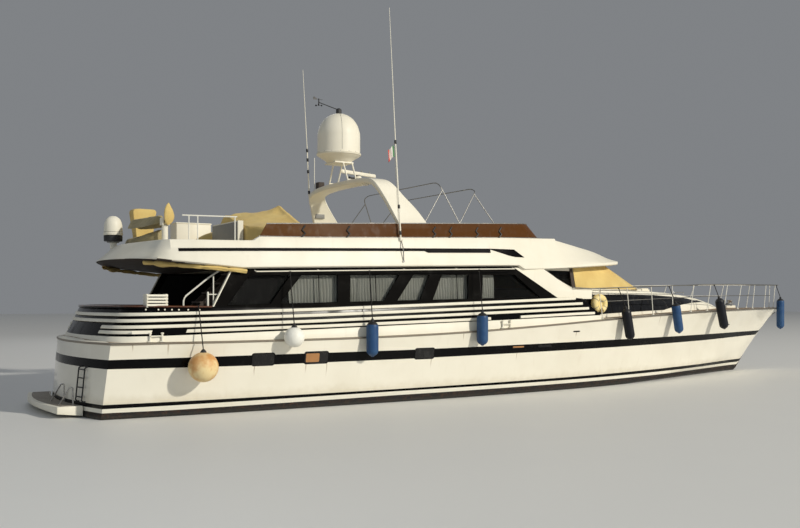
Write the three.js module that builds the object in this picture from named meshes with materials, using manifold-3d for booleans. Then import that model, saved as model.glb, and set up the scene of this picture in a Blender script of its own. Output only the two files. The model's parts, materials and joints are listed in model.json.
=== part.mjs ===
// Motor yacht of about 27 m afloat: a moulded hull, a full-beam saloon under a flybridge, a radar arch and a low
// coachroof on the foredeck. Lengths are millimetres. X runs to the bow and is counted from the transom's corner in
// every table, Y runs to port and Z runs up from the waterline. The last group moves X to the frame's midships origin.
import * as THREE from "three";
import { mergeVertices } from "three/addons/utils/BufferGeometryUtils.js";
import Module from "manifold-3d";

const wasm = await Module();
wasm.setup();

// Driving dimensions
const midships = 12600;
const seatGap = 0.3;
const keelHalfWidth = 60;
const deckCamber = 60;
const transomBulge = 450;
const transomHalf = 2700;
const transomRake = 0.1;
const bulwarkThickness = 150;
const bulwarkInset = 40;
const bulwarkLean = 60;
const bulwarkCornerRadius = 800;
const cabinWall = 60;
const glassThickness = 12;
const roofThickness = 120;
const coamingThickness = 140;
const saloonAft = 4200;
const saloonFore = 13300;
const saloonSole = 1450;
const wheelhouseFloor = 2930;
const wheelhouseHead = 3700;
const domeCentreX = 7105;
const scannerX = 8100;
const scannerY = 700;
const scannerZ = 6230.3;
const scannerTurn = 20;
const propellerX = 1150;
const propellerY = 1250;
const propellerZ = -1250;
const shaftTilt = 8;
const rudderX = 420;
const rudderCollarFoot = -790;

// columns: x, half breadth and height of the chine, half breadth and height of the deck edge
const hullStations = [
  [0, 2540, -300, 2760, 1675],
  [1500, 2620, -320, 2950, 1680],
  [3000, 2680, -330, 3060, 1680],
  [6000, 2740, -330, 3130, 1700],
  [9000, 2740, -300, 3150, 1770],
  [12000, 2620, -220, 3070, 1910],
  [14500, 2400, -100, 2880, 2040],
  [17000, 1980, 80, 2520, 2140],
  [19500, 1420, 300, 2030, 2220],
  [21500, 920, 520, 1540, 2260],
  [23000, 500, 800, 1100, 2280],
  [24200, 240, 1150, 730, 2290],
  [25300, 110, 1800, 370, 2300],
  [26300, 20, 2270, 30, 2305],
];
// columns: x, height of the keel and stem
const keelLine = [
  [0, -1000],
  [3000, -1250],
  [5600, -1420],
  [8000, -1500],
  [12800, -1500],
  [14500, -1480],
  [17000, -1380],
  [19500, -1150],
  [21500, -800],
  [22700, -420],
  [23600, 0],
  [24240, 710],
  [24900, 1330],
  [25600, 1930],
  [26300, 2265],
];
// columns: share of the half breadth, how far that line of the transom stands aft of its corner
const transomRows = [
  [1, 0],
  [0.97, 27],
  [0.85, 125],
  [0.65, 260],
  [0.4, 378],
  [0.12, 443],
];
// columns: x, height of the bulwark's cap
const capLine = [
  [-400, 2465],
  [1400, 2450],
  [4500, 2430],
  [7900, 2530],
  [12000, 2640],
  [14400, 2700],
];
// columns: x, half breadth and height of the flybridge's lower edge, half breadth and height of its upper edge
const flyStations = [
  [1500, 2800, 3480, 2620, 3985],
  [2100, 2920, 3430, 2760, 3990],
  [3100, 3010, 3340, 2860, 4000],
  [3420, 3025, 3348, 2870, 4010],
  [3560, 3030, 3352, 2875, 4100],
  [5000, 3060, 3388, 2905, 4125],
  [7400, 3075, 3448, 2920, 4200],
  [10700, 3020, 3530, 2840, 4315],
  [11150, 3000, 3540, 2800, 4330],
  [11350, 2990, 3440, 2780, 4335],
  [12400, 2880, 3475, 2560, 4370],
  [12950, 2800, 3505, 2380, 4395],
  [13000, 2795, 3508, 2360, 4345],
  [14000, 2640, 3570, 2050, 4225],
  [15000, 2350, 3635, 1720, 4105],
  [15700, 2000, 3685, 1350, 4020],
  [16300, 1500, 3730, 900, 3950],
  [16700, 900, 3765, 450, 3900],
  [16900, 300, 3785, 150, 3895],
];
const browLip = 100;
// columns: share of the half breadth, x of that line of the flybridge's aft edge, share of the aft face's rake, how far
// the lower edge lifts
const flyAftRows = [
  [0.93, 1212, 0.27, 40],
  [0.82, 1077, 0.42, 60],
  [0.65, 896, 0.62, 80],
  [0.35, 680, 0.82, 95],
  [0.05, 594, 0.85, 100],
];
const flyAftRake = 1.42;
// columns: x of each window's lower aft, lower fore, upper fore and upper aft corner
const saloonWindows = [
  [2750, 3800, 4330, 3290],
  [4010, 5550, 5570, 4600],
  [5880, 6850, 7320, 5910],
  [7220, 7920, 8230, 7730],
  [8290, 9430, 9470, 8600],
  [9890, 11950, 11050, 9930],
];
// columns: x, half breadth of the wheelhouse at its floor, half breadth at its roof, how far the roof stands aft there
const wheelhouseStations = [
  [12200, 2500, 2460, 0],
  [13000, 2480, 2420, 0],
  [13680, 2445, 2350, 70],
  [14500, 2350, 2200, 220],
  [15500, 2130, 1900, 520],
  [16600, 1800, 1500, 900],
  [17380, 1300, 1020, 1200],
  [17800, 700, 540, 1260],
  [17960, 0, 0, 1280],
];
const glazingFoot = 0.3;
const glazingHead = 0.74;
// columns: x, half breadth at the deck, at the glazing's foot, at its head and at the roof's edge, height of the roof's
// edge, height of the roof's crown
const coachroofStations = [
  [13300, 2560, 2550, 2530, 2490, 2880, 2925],
  [14500, 2480, 2450, 2400, 2330, 2890, 2925],
  [16000, 2260, 2220, 2140, 2040, 2890, 2930],
  [17600, 1960, 1900, 1800, 1680, 2860, 2950],
  [19300, 1580, 1520, 1420, 1300, 2770, 2880],
  [20600, 1200, 1140, 1040, 900, 2640, 2760],
  [21600, 800, 740, 640, 480, 2510, 2610],
  [22400, 350, 300, 220, 120, 2380, 2440],
];

// A smooth curve through one column of a table, read at x.
function sample(table, x, column) {
  const last = table.length - 1;
  let i = 0;
  while (i < last - 1 && table[i + 1][0] < x) i += 1;
  const slope = (k) => {
    const a = table[Math.max(0, k - 1)];
    const b = table[Math.min(last, k + 1)];
    return (b[column] - a[column]) / (b[0] - a[0]);
  };
  const [x0, x1] = [table[i][0], table[i + 1][0]];
  const span = x1 - x0;
  const t = Math.min(1, Math.max(0, (x - x0) / span));
  const [v0, v1] = [table[i][column], table[i + 1][column]];
  const [m0, m1] = [slope(i) * span, slope(i + 1) * span];
  const [t2, t3] = [t * t, t * t * t];
  return (2 * t3 - 3 * t2 + 1) * v0 + (t3 - 2 * t2 + t) * m0 + (3 * t2 - 2 * t3) * v1 + (t3 - t2) * m1;
}

// Straight lines through one column of a table, read at x.
function line(table, x, column) {
  let i = 0;
  while (i < table.length - 2 && table[i + 1][0] < x) i += 1;
  const t = Math.min(1, Math.max(0, (x - table[i][0]) / (table[i + 1][0] - table[i][0])));
  return table[i][column] + t * (table[i + 1][column] - table[i][column]);
}

const deckHalf = (x) => sample(hullStations, x, 3);
const deckEdge = (x) => sample(hullStations, x, 4);
const capHeight = (x) => line(capLine, x, 1);
const transomAt = (y) => transomRake * deckEdge(0) - transomBulge * (1 - (y / transomHalf) ** 2);
const flyFloor = (x) => line(flyStations, x, 2) + roofThickness;
const radians = THREE.MathUtils.degToRad;

function steps(from, to, count) {
  return Array.from({ length: count + 1 }, (_, i) => from + ((to - from) * i) / count);
}

// Geometry as a solid for joins and cuts, and back.
function solidOf(geometry) {
  const bare = geometry.index ? geometry.clone() : geometry;
  bare.deleteAttribute("normal");
  bare.deleteAttribute("uv");
  const merged = mergeVertices(bare, 1e-3);
  const vertProperties = new Float32Array(merged.attributes.position.array);
  return new wasm.Manifold(new wasm.Mesh({ numProp: 3, vertProperties, triVerts: new Uint32Array(merged.index.array) }));
}

function geometryOf(solid) {
  const mesh = solid.getMesh();
  const geometry = new THREE.BufferGeometry();
  geometry.setAttribute("position", new THREE.BufferAttribute(mesh.vertProperties, 3));
  geometry.setIndex(new THREE.BufferAttribute(mesh.triVerts, 1));
  return geometry;
}

function join(...pieces) {
  return geometryOf(pieces.map(solidOf).reduce((whole, piece) => whole.add(piece)));
}

function cut(piece, ...tools) {
  return geometryOf(tools.map(solidOf).reduce((rest, tool) => rest.subtract(tool), solidOf(piece)));
}

const moved = (geometry, x, y, z) => geometry.clone().translate(x, y, z);

function mirrored(geometry) {
  const copy = geometry.clone().scale(1, -1, 1);
  const index = copy.index ? Array.from(copy.index.array) : steps(0, copy.attributes.position.count - 1,
    copy.attributes.position.count - 1);
  for (let i = 0; i < index.length; i += 3) [index[i + 1], index[i + 2]] = [index[i + 2], index[i + 1]];
  copy.setIndex(index);
  return copy;
}

// A piece set on, under or against its neighbours: whatever would enter one of them is cut away with the seat's gap.
const seatedOn = (piece, ...below) => cut(piece, ...below.map((b) => moved(b, 0, 0, seatGap)));
const seatedUnder = (piece, ...above) => cut(piece, ...above.map((a) => moved(a, 0, 0, -seatGap)));
const seatShifts = [-seatGap, seatGap].flatMap((d) => [[d, 0, 0], [0, d, 0], [0, 0, d]]);
const clearOf = (piece, ...others) => cut(piece, ...others.flatMap((other) => seatShifts.map((d) => moved(other, ...d))));

function box(x0, x1, y0, y1, z0, z1) {
  return new THREE.BoxGeometry(x1 - x0, y1 - y0, z1 - z0).translate((x0 + x1) / 2, (y0 + y1) / 2, (z0 + z1) / 2);
}

// An outline in x and z, with holes, drawn out from y0 to y1.
function sidePlate(points, y0, y1, holes = []) {
  const shape = new THREE.Shape(points.map(([x, z]) => new THREE.Vector2(x, z)));
  shape.holes = holes.map((hole) => new THREE.Path(hole.map(([x, z]) => new THREE.Vector2(x, z))));
  const plate = new THREE.ExtrudeGeometry(shape, { depth: y1 - y0, bevelEnabled: false, curveSegments: 8 });
  return plate.rotateX(Math.PI / 2).translate(0, y1, 0);
}

// An outline in x and y drawn up from z0 to z1.
function deckPlate(points, z0, z1) {
  const shape = new THREE.Shape(points.map(([x, y]) => new THREE.Vector2(x, y)));
  return new THREE.ExtrudeGeometry(shape, { depth: z1 - z0, bevelEnabled: false }).translate(0, 0, z0);
}

// An outline in y and z drawn forward from x0 to x1.
function crossPlate(points, x0, x1) {
  const shape = new THREE.Shape(points.map(([y, z]) => new THREE.Vector2(y, z)));
  const plate = new THREE.ExtrudeGeometry(shape, { depth: x1 - x0, bevelEnabled: false });
  return plate.applyMatrix4(new THREE.Matrix4().set(0, 0, 1, x0, 1, 0, 0, 0, 0, 1, 0, 0, 0, 0, 0, 1));
}

// A closed skin through rings of equal point counts, with an end face on the first and the last. Each four-sided
// patch is split along its shorter diagonal, so port and starboard split alike.
function loft(rings) {
  const count = rings[0].length;
  const points = rings.flat();
  const apart = (i, j) => Math.hypot(...points[i].map((value, k) => value - points[j][k]));
  let index = [];
  rings.slice(1).forEach((_, r) => {
    for (let i = 0; i < count; i += 1) {
      const [a, b] = [r * count + i, r * count + ((i + 1) % count)];
      const [c, d] = [b + count, a + count];
      index.push(...(apart(b, d) < apart(a, c) - 1e-3 ? [a, b, d, b, c, d] : [a, b, c, a, c, d]));
    }
  });
  index.push(...endFace(rings[0], 0).reverse(), ...endFace(rings.at(-1), points.length - count));
  const volume = (list) => {
    let sum = 0;
    for (let i = 0; i < list.length; i += 3) {
      const [a, b, c] = [0, 1, 2].map((k) => new THREE.Vector3(...points[list[i + k]]));
      sum += a.dot(b.cross(c));
    }
    return sum;
  };
  if (volume(index) < 0) index = index.reverse();
  const geometry = new THREE.BufferGeometry();
  geometry.setAttribute("position", new THREE.Float32BufferAttribute(points.flat(), 3));
  geometry.setIndex(index);
  return geometry;
}

// Triangles that fill one ring, turned as the ring runs.
function endFace(ring, start) {
  const normal = [0, 0, 0];
  ring.forEach((p, i) => {
    const q = ring[(i + 1) % ring.length];
    normal[0] += (p[1] - q[1]) * (p[2] + q[2]);
    normal[1] += (p[2] - q[2]) * (p[0] + q[0]);
    normal[2] += (p[0] - q[0]) * (p[1] + q[1]);
  });
  const main = normal.map(Math.abs).indexOf(Math.max(...normal.map(Math.abs)));
  const [u, v] = [(main + 1) % 3, (main + 2) % 3];
  const flat = ring.map((p) => new THREE.Vector2(p[u], p[v]));
  const turn = Math.sign(THREE.ShapeUtils.area(flat));
  return THREE.ShapeUtils.triangulateShape(flat, []).flatMap(([a, b, c]) => {
    const same = Math.sign(THREE.ShapeUtils.area([flat[a], flat[b], flat[c]])) === turn;
    return same ? [start + a, start + b, start + c] : [start + a, start + c, start + b];
  });
}

function rod(from, to, radius, sides = 8, endRadius = radius) {
  const [a, b] = [new THREE.Vector3(...from), new THREE.Vector3(...to)];
  const along = b.clone().sub(a);
  const bar = new THREE.CylinderGeometry(endRadius, radius, along.length(), sides);
  const turn = new THREE.Quaternion().setFromUnitVectors(new THREE.Vector3(0, 1, 0), along.clone().normalize());
  return bar.applyQuaternion(turn).translate(...a.add(b).multiplyScalar(0.5).toArray());
}

// A round bar bent through points, each sharp bend cut across by two rings.
function rail(points, radius, sides = 6) {
  const at = points.map((p) => new THREE.Vector3(...p));
  const heading = (i) => at[i + 1].clone().sub(at[i]).normalize();
  const rings = [];
  at.forEach((point, i) => {
    const before = heading(Math.max(0, i - 1));
    const after = heading(Math.min(at.length - 2, i));
    const along = before.clone().add(after).normalize();
    const sharp = before.dot(after) < 0.94;
    if (!sharp) rings.push([point, along]);
    else rings.push([point.clone().addScaledVector(before, -radius * 2), before.clone().add(along).normalize()],
      [point.clone().addScaledVector(after, radius * 2), after.clone().add(along).normalize()]);
  });
  const axes = [[0, 0, 1], [1, 0, 0], [0, 1, 0]].map((a) => new THREE.Vector3(...a));
  const least = (axis) => Math.max(...rings.map(([, along]) => Math.abs(along.dot(axis))));
  const side = axes.reduce((best, axis) => (least(axis) < least(best) ? axis : best));
  return loft(rings.map(([point, along]) => {
    const u = side.clone().cross(along).normalize();
    const v = along.clone().cross(u);
    return steps(0, 2 * Math.PI, sides).slice(0, -1).map((a) => point.clone()
      .addScaledVector(u, radius * Math.cos(a)).addScaledVector(v, radius * Math.sin(a)).toArray());
  }));
}

// A profile of radius and height turned about an upright axis.
function turned(profile, x, y, z, segments = 24) {
  const curve = profile.map(([radius, height]) => new THREE.Vector2(radius, height));
  return new THREE.LatheGeometry(curve, segments).rotateX(Math.PI / 2).translate(x, y, z);
}

// Plan of a U that runs along starboard, round one end and back along port. end is -1 at the stern and 1 at the bow.
function plan(halfAt, endAt, radius, open, end, sideSteps = 8) {
  let centre = open;
  for (let i = 0; i < 6; i += 1) centre = endAt(halfAt(centre) - radius) - end * radius;
  const half = halfAt(centre);
  const side = steps(open, centre, sideSteps).map((x) => [x, -halfAt(x)]);
  const corner = steps(0, Math.PI / 2, 5).slice(1, -1).map((a) => [
    centre + end * radius * Math.sin(a),
    -(half - radius) - radius * Math.cos(a),
  ]);
  const middle = steps(-(half - radius), 0, 4).map((y) => [endAt(y), y]);
  const starboard = [...side, ...corner, ...middle];
  return [...starboard, ...starboard.slice(0, -1).reverse().map(([x, y]) => [x, -y])];
}

// A wall that stands on one plan and reaches to another, its thickness laid inwards of both.
function wall(foot, head, thickness, footHeight, headHeight) {
  const inward = (path, i) => {
    const a = path[Math.max(0, i - 1)];
    const b = path[Math.min(path.length - 1, i + 1)];
    const away = Math.hypot(b[0] - a[0], b[1] - a[1]);
    const [nx, ny] = [(a[1] - b[1]) / away, (b[0] - a[0]) / away];
    const side = path[0][0] > path[Math.floor(path.length / 2)][0] ? -1 : 1;
    return [path[i][0] + side * nx * thickness, path[i][1] + side * ny * thickness];
  };
  return loft(foot.map((f, i) => {
    const [fi, h, hi] = [inward(foot, i), head[i], inward(head, i)];
    return [
      [f[0], f[1], footHeight(f[0])],
      [h[0], h[1], headHeight(h[0])],
      [hi[0], hi[1], headHeight(h[0])],
      [fi[0], fi[1], footHeight(f[0])],
    ];
  }));
}

// Hull: the wetted hull, topsides, transom and deck in one moulding
function hullRing(x, share, aft) {
  const [chineY, chineZ, edgeY, edgeZ] = [1, 2, 3, 4].map((column) => sample(hullStations, x, column));
  const keelZ = line(keelLine, x, 1);
  const flare = 0.16 * Math.min(1, Math.max(0, (x - 12000) / 9000));
  const topside = (t) => [
    chineY + (edgeY - chineY) * (t - flare * Math.sin(Math.PI * t)),
    chineZ + (edgeZ - chineZ) * t,
  ];
  const half = [
    [Math.min(keelHalfWidth, chineY * 0.6), keelZ],
    [chineY, chineZ],
    topside(0.35),
    topside(0.7),
    [edgeY, edgeZ],
    [edgeY * 0.5, edgeZ + (deckCamber * 0.75 * edgeY) / transomHalf],
  ];
  const place = ([y, z], side) => [(aft === undefined ? x : transomRake * z - aft), side * share * y, z];
  return [
    ...half.map((p) => place(p, -1)),
    place([0, edgeZ + (deckCamber * edgeY) / transomHalf], 1),
    ...half.map((p) => place(p, 1)).reverse(),
  ];
}

function hullBody() {
  const aft = transomRows.map(([share, out]) => hullRing(0, share, out)).reverse();
  const along = [900, ...steps(2200, 20200, 12), ...steps(21000, 26300, 10)].map((x) => hullRing(x, 1));
  return loft([...aft, ...along]);
}

// Louvred bulwark round the cockpit and along the saloon, one wall in plan
function bulwarkBody(hull) {
  const front = 14400;
  const sternSet = 130;
  const sternLean = 400;
  const foot = plan((x) => deckHalf(x) - bulwarkInset, (y) => transomAt(y) + sternSet, bulwarkCornerRadius, front, -1, 12);
  const head = plan((x) => deckHalf(x) - bulwarkInset - bulwarkLean, (y) => transomAt(y) + sternSet + sternLean,
    bulwarkCornerRadius, front, -1, 12);
  const body = wall(foot, head, bulwarkThickness, (x) => deckEdge(Math.max(0, x)) - 40, capHeight);
  const slope = sidePlate([[13520, 2900], [13520, 2690], [14330, 2190], [14600, 2190], [14600, 2900]], -3300, 3300);
  return seatedOn(cut(body, slope), hull);
}

const hull = hullBody();
const saloonWell = box(saloonAft + 100, saloonFore - 100, -2450, 2450, saloonSole, 2400);
const rudderCollars = [-1, 1].map((side) => rod([rudderX, side * propellerY, rudderCollarFoot],
  [rudderX, side * propellerY, -500], 70, 16));
const hullWithWell = join(cut(hull, saloonWell), ...rudderCollars);
const bulwark = bulwarkBody(hull);

// Swim platform: a crescent against the transom
function platformBody() {
  const [half, corner, depth] = [1900, -780, 220];
  const edge = steps(-1, 1, 16).map((t) => [corner - depth * (1 - t ** 2), half * t]);
  const plate = deckPlate([...edge, [300, half], [300, -half]], 40, 270);
  const hoops = [-1660, -680].map((y) => rail([[-680, y + 120, 220], [-470, y, 660], [-410, y - 20, 660],
    [-410, y - 60, 220]], 16, 6));
  const slope = sidePlate([[-1200, 0], [-1200, 170], [-380, 40], [-380, 0]], -2100, 2100);
  return cut(join(plate, ...hoops), moved(hull, -seatGap, 0, 0), slope);
}

// Flybridge: roof of the saloon and wheelhouse, coaming and brow in one moulding
function flyRing(x, share, at, rake, lift) {
  const [lowY, foot, topY, topZ] = [1, 2, 3, 4].map((column) => line(flyStations, x, column));
  const lowZ = foot + lift;
  const lip = Math.min(lowZ + browLip, topZ);
  const half = [[lowY * 0.97, lowZ], [lowY, lowZ + 30], [lowY, lip], [lowY * 0.35 + topY * 0.65, lip + (topZ - lip) * 0.6],
    [topY, topZ]];
  const place = ([y, z], side) => [at + flyAftRake * rake * (z - lowZ), side * share * y, z];
  return [...half.map((p) => place(p, -1)), ...half.map((p) => place(p, 1)).reverse()];
}

function flybridgeBody() {
  const aft = flyAftRows.map(([share, at, rake, lift]) => flyRing(1500, share, at, rake, lift)).reverse();
  const along = flyStations.map(([x]) => flyRing(x, 1, x, 0, 0));
  const body = loft([...aft, ...along]);
  const wellRing = (x, half) => [
    [x, -half, flyFloor(x)],
    [x, -half, 5000],
    [x, half, 5000],
    [x, half, flyFloor(x)],
  ];
  const wellStations = [[1450, 1500], [1700, 2150], [2100, 2420], ...[2600, 3600, 5000, 7400, 9500, 11000].map((x) => [
    x,
    line(flyStations, x, 3) - coamingThickness,
  ]), [12100, 2380], [12350, 2000]];
  const well = loft(wellStations.map(([x, half]) => wellRing(x, half)));
  const stairway = box(2400, 3650, -2600, -1900, 3000, 4500);
  const locker = box(3050, 4050, 1900, 2500, 3450, 4760);
  return join(cut(body, well, stairway), locker);
}

const flybridge = flybridgeBody();

// Saloon side: one panel from the raked wing at the cockpit to the white pillar ahead of the windows
const sideLean = 0.06;
const sideStations = [2300, 3400, 4600, 5800, 7000, 8200, 9400, 10600, 11800, 13000, 14100];
const sideHalf = (x, z) => deckHalf(x) - bulwarkInset - bulwarkLean - 30 - sideLean * (z - 2450);
const windowFoot = (x) => 2520 + 0.0205 * (x - 4000);
const windowHead = (x) => 3225 + 0.0155 * (x - 5600);
const roofUnder = (x) => line(flyStations, x, 2);

// A sheet that follows the saloon's side between two depths behind its face.
function sideSheet(from, to, near, far, foot, head) {
  const xs = [from, ...sideStations.filter((x) => x > from + 1 && x < to - 1), to];
  const half = (x, z) => {
    const i = Math.max(0, sideStations.findIndex((s) => s > x) - 1);
    const [a, b] = [sideStations[i], sideStations[i + 1]];
    return sideHalf(a, z) + ((sideHalf(b, z) - sideHalf(a, z)) * (x - a)) / (b - a);
  };
  return loft(xs.map((x) => [[near, foot(x)], [near, head(x)], [far, head(x)], [far, foot(x)]].map(([depth, z]) => [
    x,
    depth - half(x, z),
    z,
  ])));
}

function cabinPanel() {
  const panel = sideSheet(2300, 14050, 0, cabinWall, (x) => capHeight(x) - 30, (x) => roofUnder(x) + 60);
  const panes = saloonWindows.map(([a, b, c, d]) => sidePlate([[a, windowFoot(a)], [b, windowFoot(b)], [c, windowHead(c)],
    [d, windowHead(d)]], -3300, -2600));
  const wing = sidePlate([[2200, 2300], [2400, 2300], [2400, 2450], [3110, 3700], [2200, 3700]], -3300, -2600);
  const front = sidePlate([[14200, 2910], [14200, 3700], [11790, 3700], [13160, 2910]], -3300, -2600);
  return cut(panel, ...panes, wing, front);
}

const cabinSide = (panel) => seatedUnder(seatedOn(panel, bulwark), flybridge);

function sideGlass() {
  const [near, far] = [cabinWall + seatGap, cabinWall + seatGap + glassThickness];
  const sheet = sideSheet(2700, 12050, near, far, (x) => windowFoot(x) - 25, (x) => windowHead(x) + 30);
  const aft = sidePlate([[2600, 2400], [2720, 2400], [3270, 3400], [2600, 3400]], -3300, -2600);
  const fore = sidePlate([[12100, 2400], [12100, 3400], [11020, 3400], [12050, 2600], [12050, 2400]], -3300, -2600);
  return cut(sheet, aft, fore);
}

// Curtains behind the glass, hung from one track
function curtainSheet() {
  const [near, far] = [cabinWall + 60, cabinWall + 100];
  const panels = [[4300, 5480], [5930, 6980], [7300, 8150], [8380, 9380], [9900, 10350]];
  const drops = panels.map(([a, b]) => sideSheet(a, b, near, far, windowFoot, () => 3300));
  const track = sideSheet(4300, 10400, near, far, () => 3280, (x) => roofUnder(x) + 20);
  return join(track, ...drops);
}

// Bulkhead between cockpit and saloon, with a doorway for two sliding leaves
function aftBulkhead() {
  const [footHalf, headHalf] = [deckHalf(saloonAft) - 255, deckHalf(saloonAft) - 267];
  const plate = crossPlate([[-footHalf, 1600], [footHalf, 1600], [headHalf, 3420], [-headHalf, 3420]], saloonAft,
    saloonAft + 60);
  const doorway = box(saloonAft - 10, saloonAft + 70, -800, 800, 1770, 3200);
  const windows = [[-2300, -1750], [1750, 2300]].map(([a, b]) => box(saloonAft - 10, saloonAft + 70, a, b, 2100, 3150));
  return seatedUnder(seatedOn(cut(plate, doorway, ...windows), hull), flybridge);
}

function saloonDoor(side) {
  const [near, far] = [6, 830];
  const leaf = box(saloonAft + 60.3, saloonAft + 99, near, far, 1762, 3215);
  const recesses = [42, 86].map((x) => box(saloonAft + x, saloonAft + x + 30, near + 90, far - 90, 1860, 3120));
  const body = cut(leaf, ...recesses);
  return side > 0 ? body : mirrored(body);
}

// Wheelhouse shell and what follows its plan
function wheelhousePlan(column, setIn, from) {
  const xs = wheelhouseStations.map(([x]) => x).filter((x) => x >= from);
  const starboard = xs.map((x) => {
    const half = line(wheelhouseStations, x, column);
    const back = column === 2 ? line(wheelhouseStations, x, 3) : 0;
    return [x - back, -half];
  });
  const inset = starboard.map(([x, y], i) => {
    const a = starboard[Math.max(0, i - 1)];
    const b = starboard[i + 1] ?? [x, -y];
    const away = Math.hypot(b[0] - a[0], b[1] - a[1]);
    return [x - ((b[1] - a[1]) / away) * setIn, y + ((b[0] - a[0]) / away) * setIn];
  });
  inset[inset.length - 1] = [starboard.at(-1)[0] - setIn, 0];
  return [...inset, ...inset.slice(0, -1).reverse().map(([x, y]) => [x, -y])];
}

function wheelhouseWall(setIn, thickness, from) {
  return wall(wheelhousePlan(1, setIn, from), wheelhousePlan(2, setIn, from), thickness, () => wheelhouseFloor - 20,
    () => wheelhouseHead);
}

function coachroofRing([x, deckY, footY, headY, roofY, edgeZ, crownZ]) {
  const rise = edgeZ - deckEdge(x);
  const half = [[deckY, deckEdge(x) - 60], [footY, deckEdge(x) + glazingFoot * rise], [headY, deckEdge(x) + glazingHead * rise],
    [roofY, edgeZ], [roofY * 0.5, edgeZ + (crownZ - edgeZ) * 0.75]];
  const port = half.map(([y, z]) => [x, y, z]);
  return [...port.map(([px, y, z]) => [px, -y, z]), [x, 0, crownZ], ...port.reverse()];
}

// The coachroof, with the coaming of its hatch and the helm's desk inside the wheelhouse
function coachroofBody() {
  const coaming = box(18270, 18930, -330, 330, 2700, 2959.7);
  const desk = sidePlate([[14900, 2860], [15800, 2860], [15800, 3180], [15100, 3300], [14900, 3200]], -1300, 1300);
  return seatedOn(join(loft(coachroofStations.map(coachroofRing)), coaming, desk), hull);
}

const coachroof = coachroofBody();

function wheelhouseShell() {
  const shell = wheelhouseWall(0, 50, 12200);
  const sideWindow = sidePlate([[12450, 3460], [13560, 3460], [13560, 2990], [13500, 2990]], -3000, 3000);
  const sideScreen = sidePlate([[13700, 3460], [14700, 3460], [15300, 3020], [13700, 3020]], -3000, 3000);
  const panes = [[-1300, -480], [-400, 400], [480, 1300]].map(([a, b]) => box(15600, 18200, a, b, 3040, 3480));
  return seatedUnder(seatedOn(cut(shell, sideWindow, sideScreen, ...panes), coachroof), flybridge);
}

function wheelhouseGlass() {
  const sheet = wheelhouseWall(50 + seatGap, glassThickness, 12200);
  return seatedUnder(seatedOn(sheet, coachroof), flybridge);
}

function windscreenCover() {
  const cloth = wheelhouseWall(-20 - seatGap, 20, 13680);
  return seatedUnder(seatedOn(cloth, coachroof), flybridge);
}

function foredeckHatch() {
  return box(18300, 18900, -300, 300, 2960, 3000);
}

// Tinted screen round the front of the flybridge
function flyScreen() {
  const inset = 60;
  const foot = plan((x) => line(flyStations, x, 3) - inset, (y) => 12780 - 300 * (y / 2400) ** 2, 900, 3560, 1, 10);
  const head = plan((x) => line(flyStations, x, 3) - inset - 60, (y) => 12300 - 300 * (y / 2400) ** 2, 900, 3780, 1, 10);
  const sheet = wall(foot, head, 15, (x) => line(flyStations, x, 4) - 30, (x) => 4405 + 0.043 * (x - 3560));
  return seatedOn(sheet, flybridge);
}

// Radar arch
// columns: half breadth and height of the outer face, half breadth and height of the inner face, x aft, x fore
const archStations = [
  [2630, 3560, 2500, 3560, 7900, 9080],
  [2560, 4300, 2430, 4300, 7680, 8700],
  [2400, 4900, 2280, 4860, 7440, 8320],
  [2220, 5350, 2120, 5280, 7270, 7940],
  [2010, 5720, 1950, 5600, 7110, 7660],
  [1600, 5860, 1600, 5730, 7080, 7560],
  [800, 5920, 800, 5790, 7080, 7560],
];

function archBody() {
  const starboard = archStations.map(([outY, outZ, inY, inZ, aft, fore]) => [
    [aft, -outY, outZ],
    [fore, -outY, outZ],
    [fore, -inY, inZ],
    [aft, -inY, inZ],
  ]);
  const port = starboard.map((ring) => ring.map(([x, y, z]) => [x, -y, z])).reverse();
  return seatedOn(loft([...starboard, ...port]), flybridge);
}

const arch = archBody();

// Satellite dome on its stand, open-array radar, wind gear and whips
function domeStand() {
  const middle = domeCentreX + 120;
  const top = box(domeCentreX - 280, middle + 180, -330, 330, 6420, 6460);
  const legs = [[-1, -1], [-1, 1], [1, -1], [1, 1]].map(([i, j]) => rod([middle + i * 130, j * 600, 5850],
    [middle + i * 140, j * 300, 6440], 22, 6));
  const ties = [-1, 1].map((j) => box(middle - 150, middle + 240, j * 554 - 15, j * 554 + 15, 5925, 5955));
  return join(top, ...legs, ...ties, box(middle + 170, middle + 240, -570, 780, 5940, 5975));
}

function domeBody() {
  const profile = [[0, 0], [325, 0], [396, 60], [594, 190], [627, 205], [627, 245], [600, 260], [600, 740], [572, 913],
    [484, 1120], [341, 1272], [165, 1359], [0, 1381]];
  return turned(profile, domeCentreX, 0, 6460 + seatGap, 32);
}

function radarPedestal() {
  const foot = box(domeCentreX + 290, scannerX + 120, scannerY - 100, scannerY + 100, 5950, 5985);
  const head = turned([[0, 0], [120, 0], [110, 200], [80, 250], [0, 250]], scannerX, scannerY, 5980, 12);
  return join(foot, head);
}

function mastStand() {
  return seatedOn(join(domeStand(), radarPedestal()), arch);
}

function radarScanner() {
  const bar = box(-750, 750, -55, 55, 30, 130);
  const lamps = [150, 500].map((x) => rod([x, 0, 120], [x, 0, 190], 22, 8));
  const boss = turned([[0, 0], [70, 0], [70, 40], [0, 40]], 0, 0, 0, 12);
  return join(bar, boss, ...lamps).rotateZ(radians(scannerTurn)).translate(scannerX, scannerY, scannerZ);
}

const windX = 6570;
const windY = 180;
const windZ = 8140;

function windArm() {
  const foot = turned([[0, 0], [70, 0], [70, 130], [40, 160], [0, 160]], domeCentreX, 0, 7825, 12);
  const arm = rail([[domeCentreX, 0, 7950], [windX, windY, windZ]], 12, 6);
  const post = rod([windX, windY, windZ - 60], [windX, windY, windZ + 60], 16, 8);
  return cut(join(foot, arm, post), moved(domeBody(), 0, 0, seatGap));
}

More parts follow.
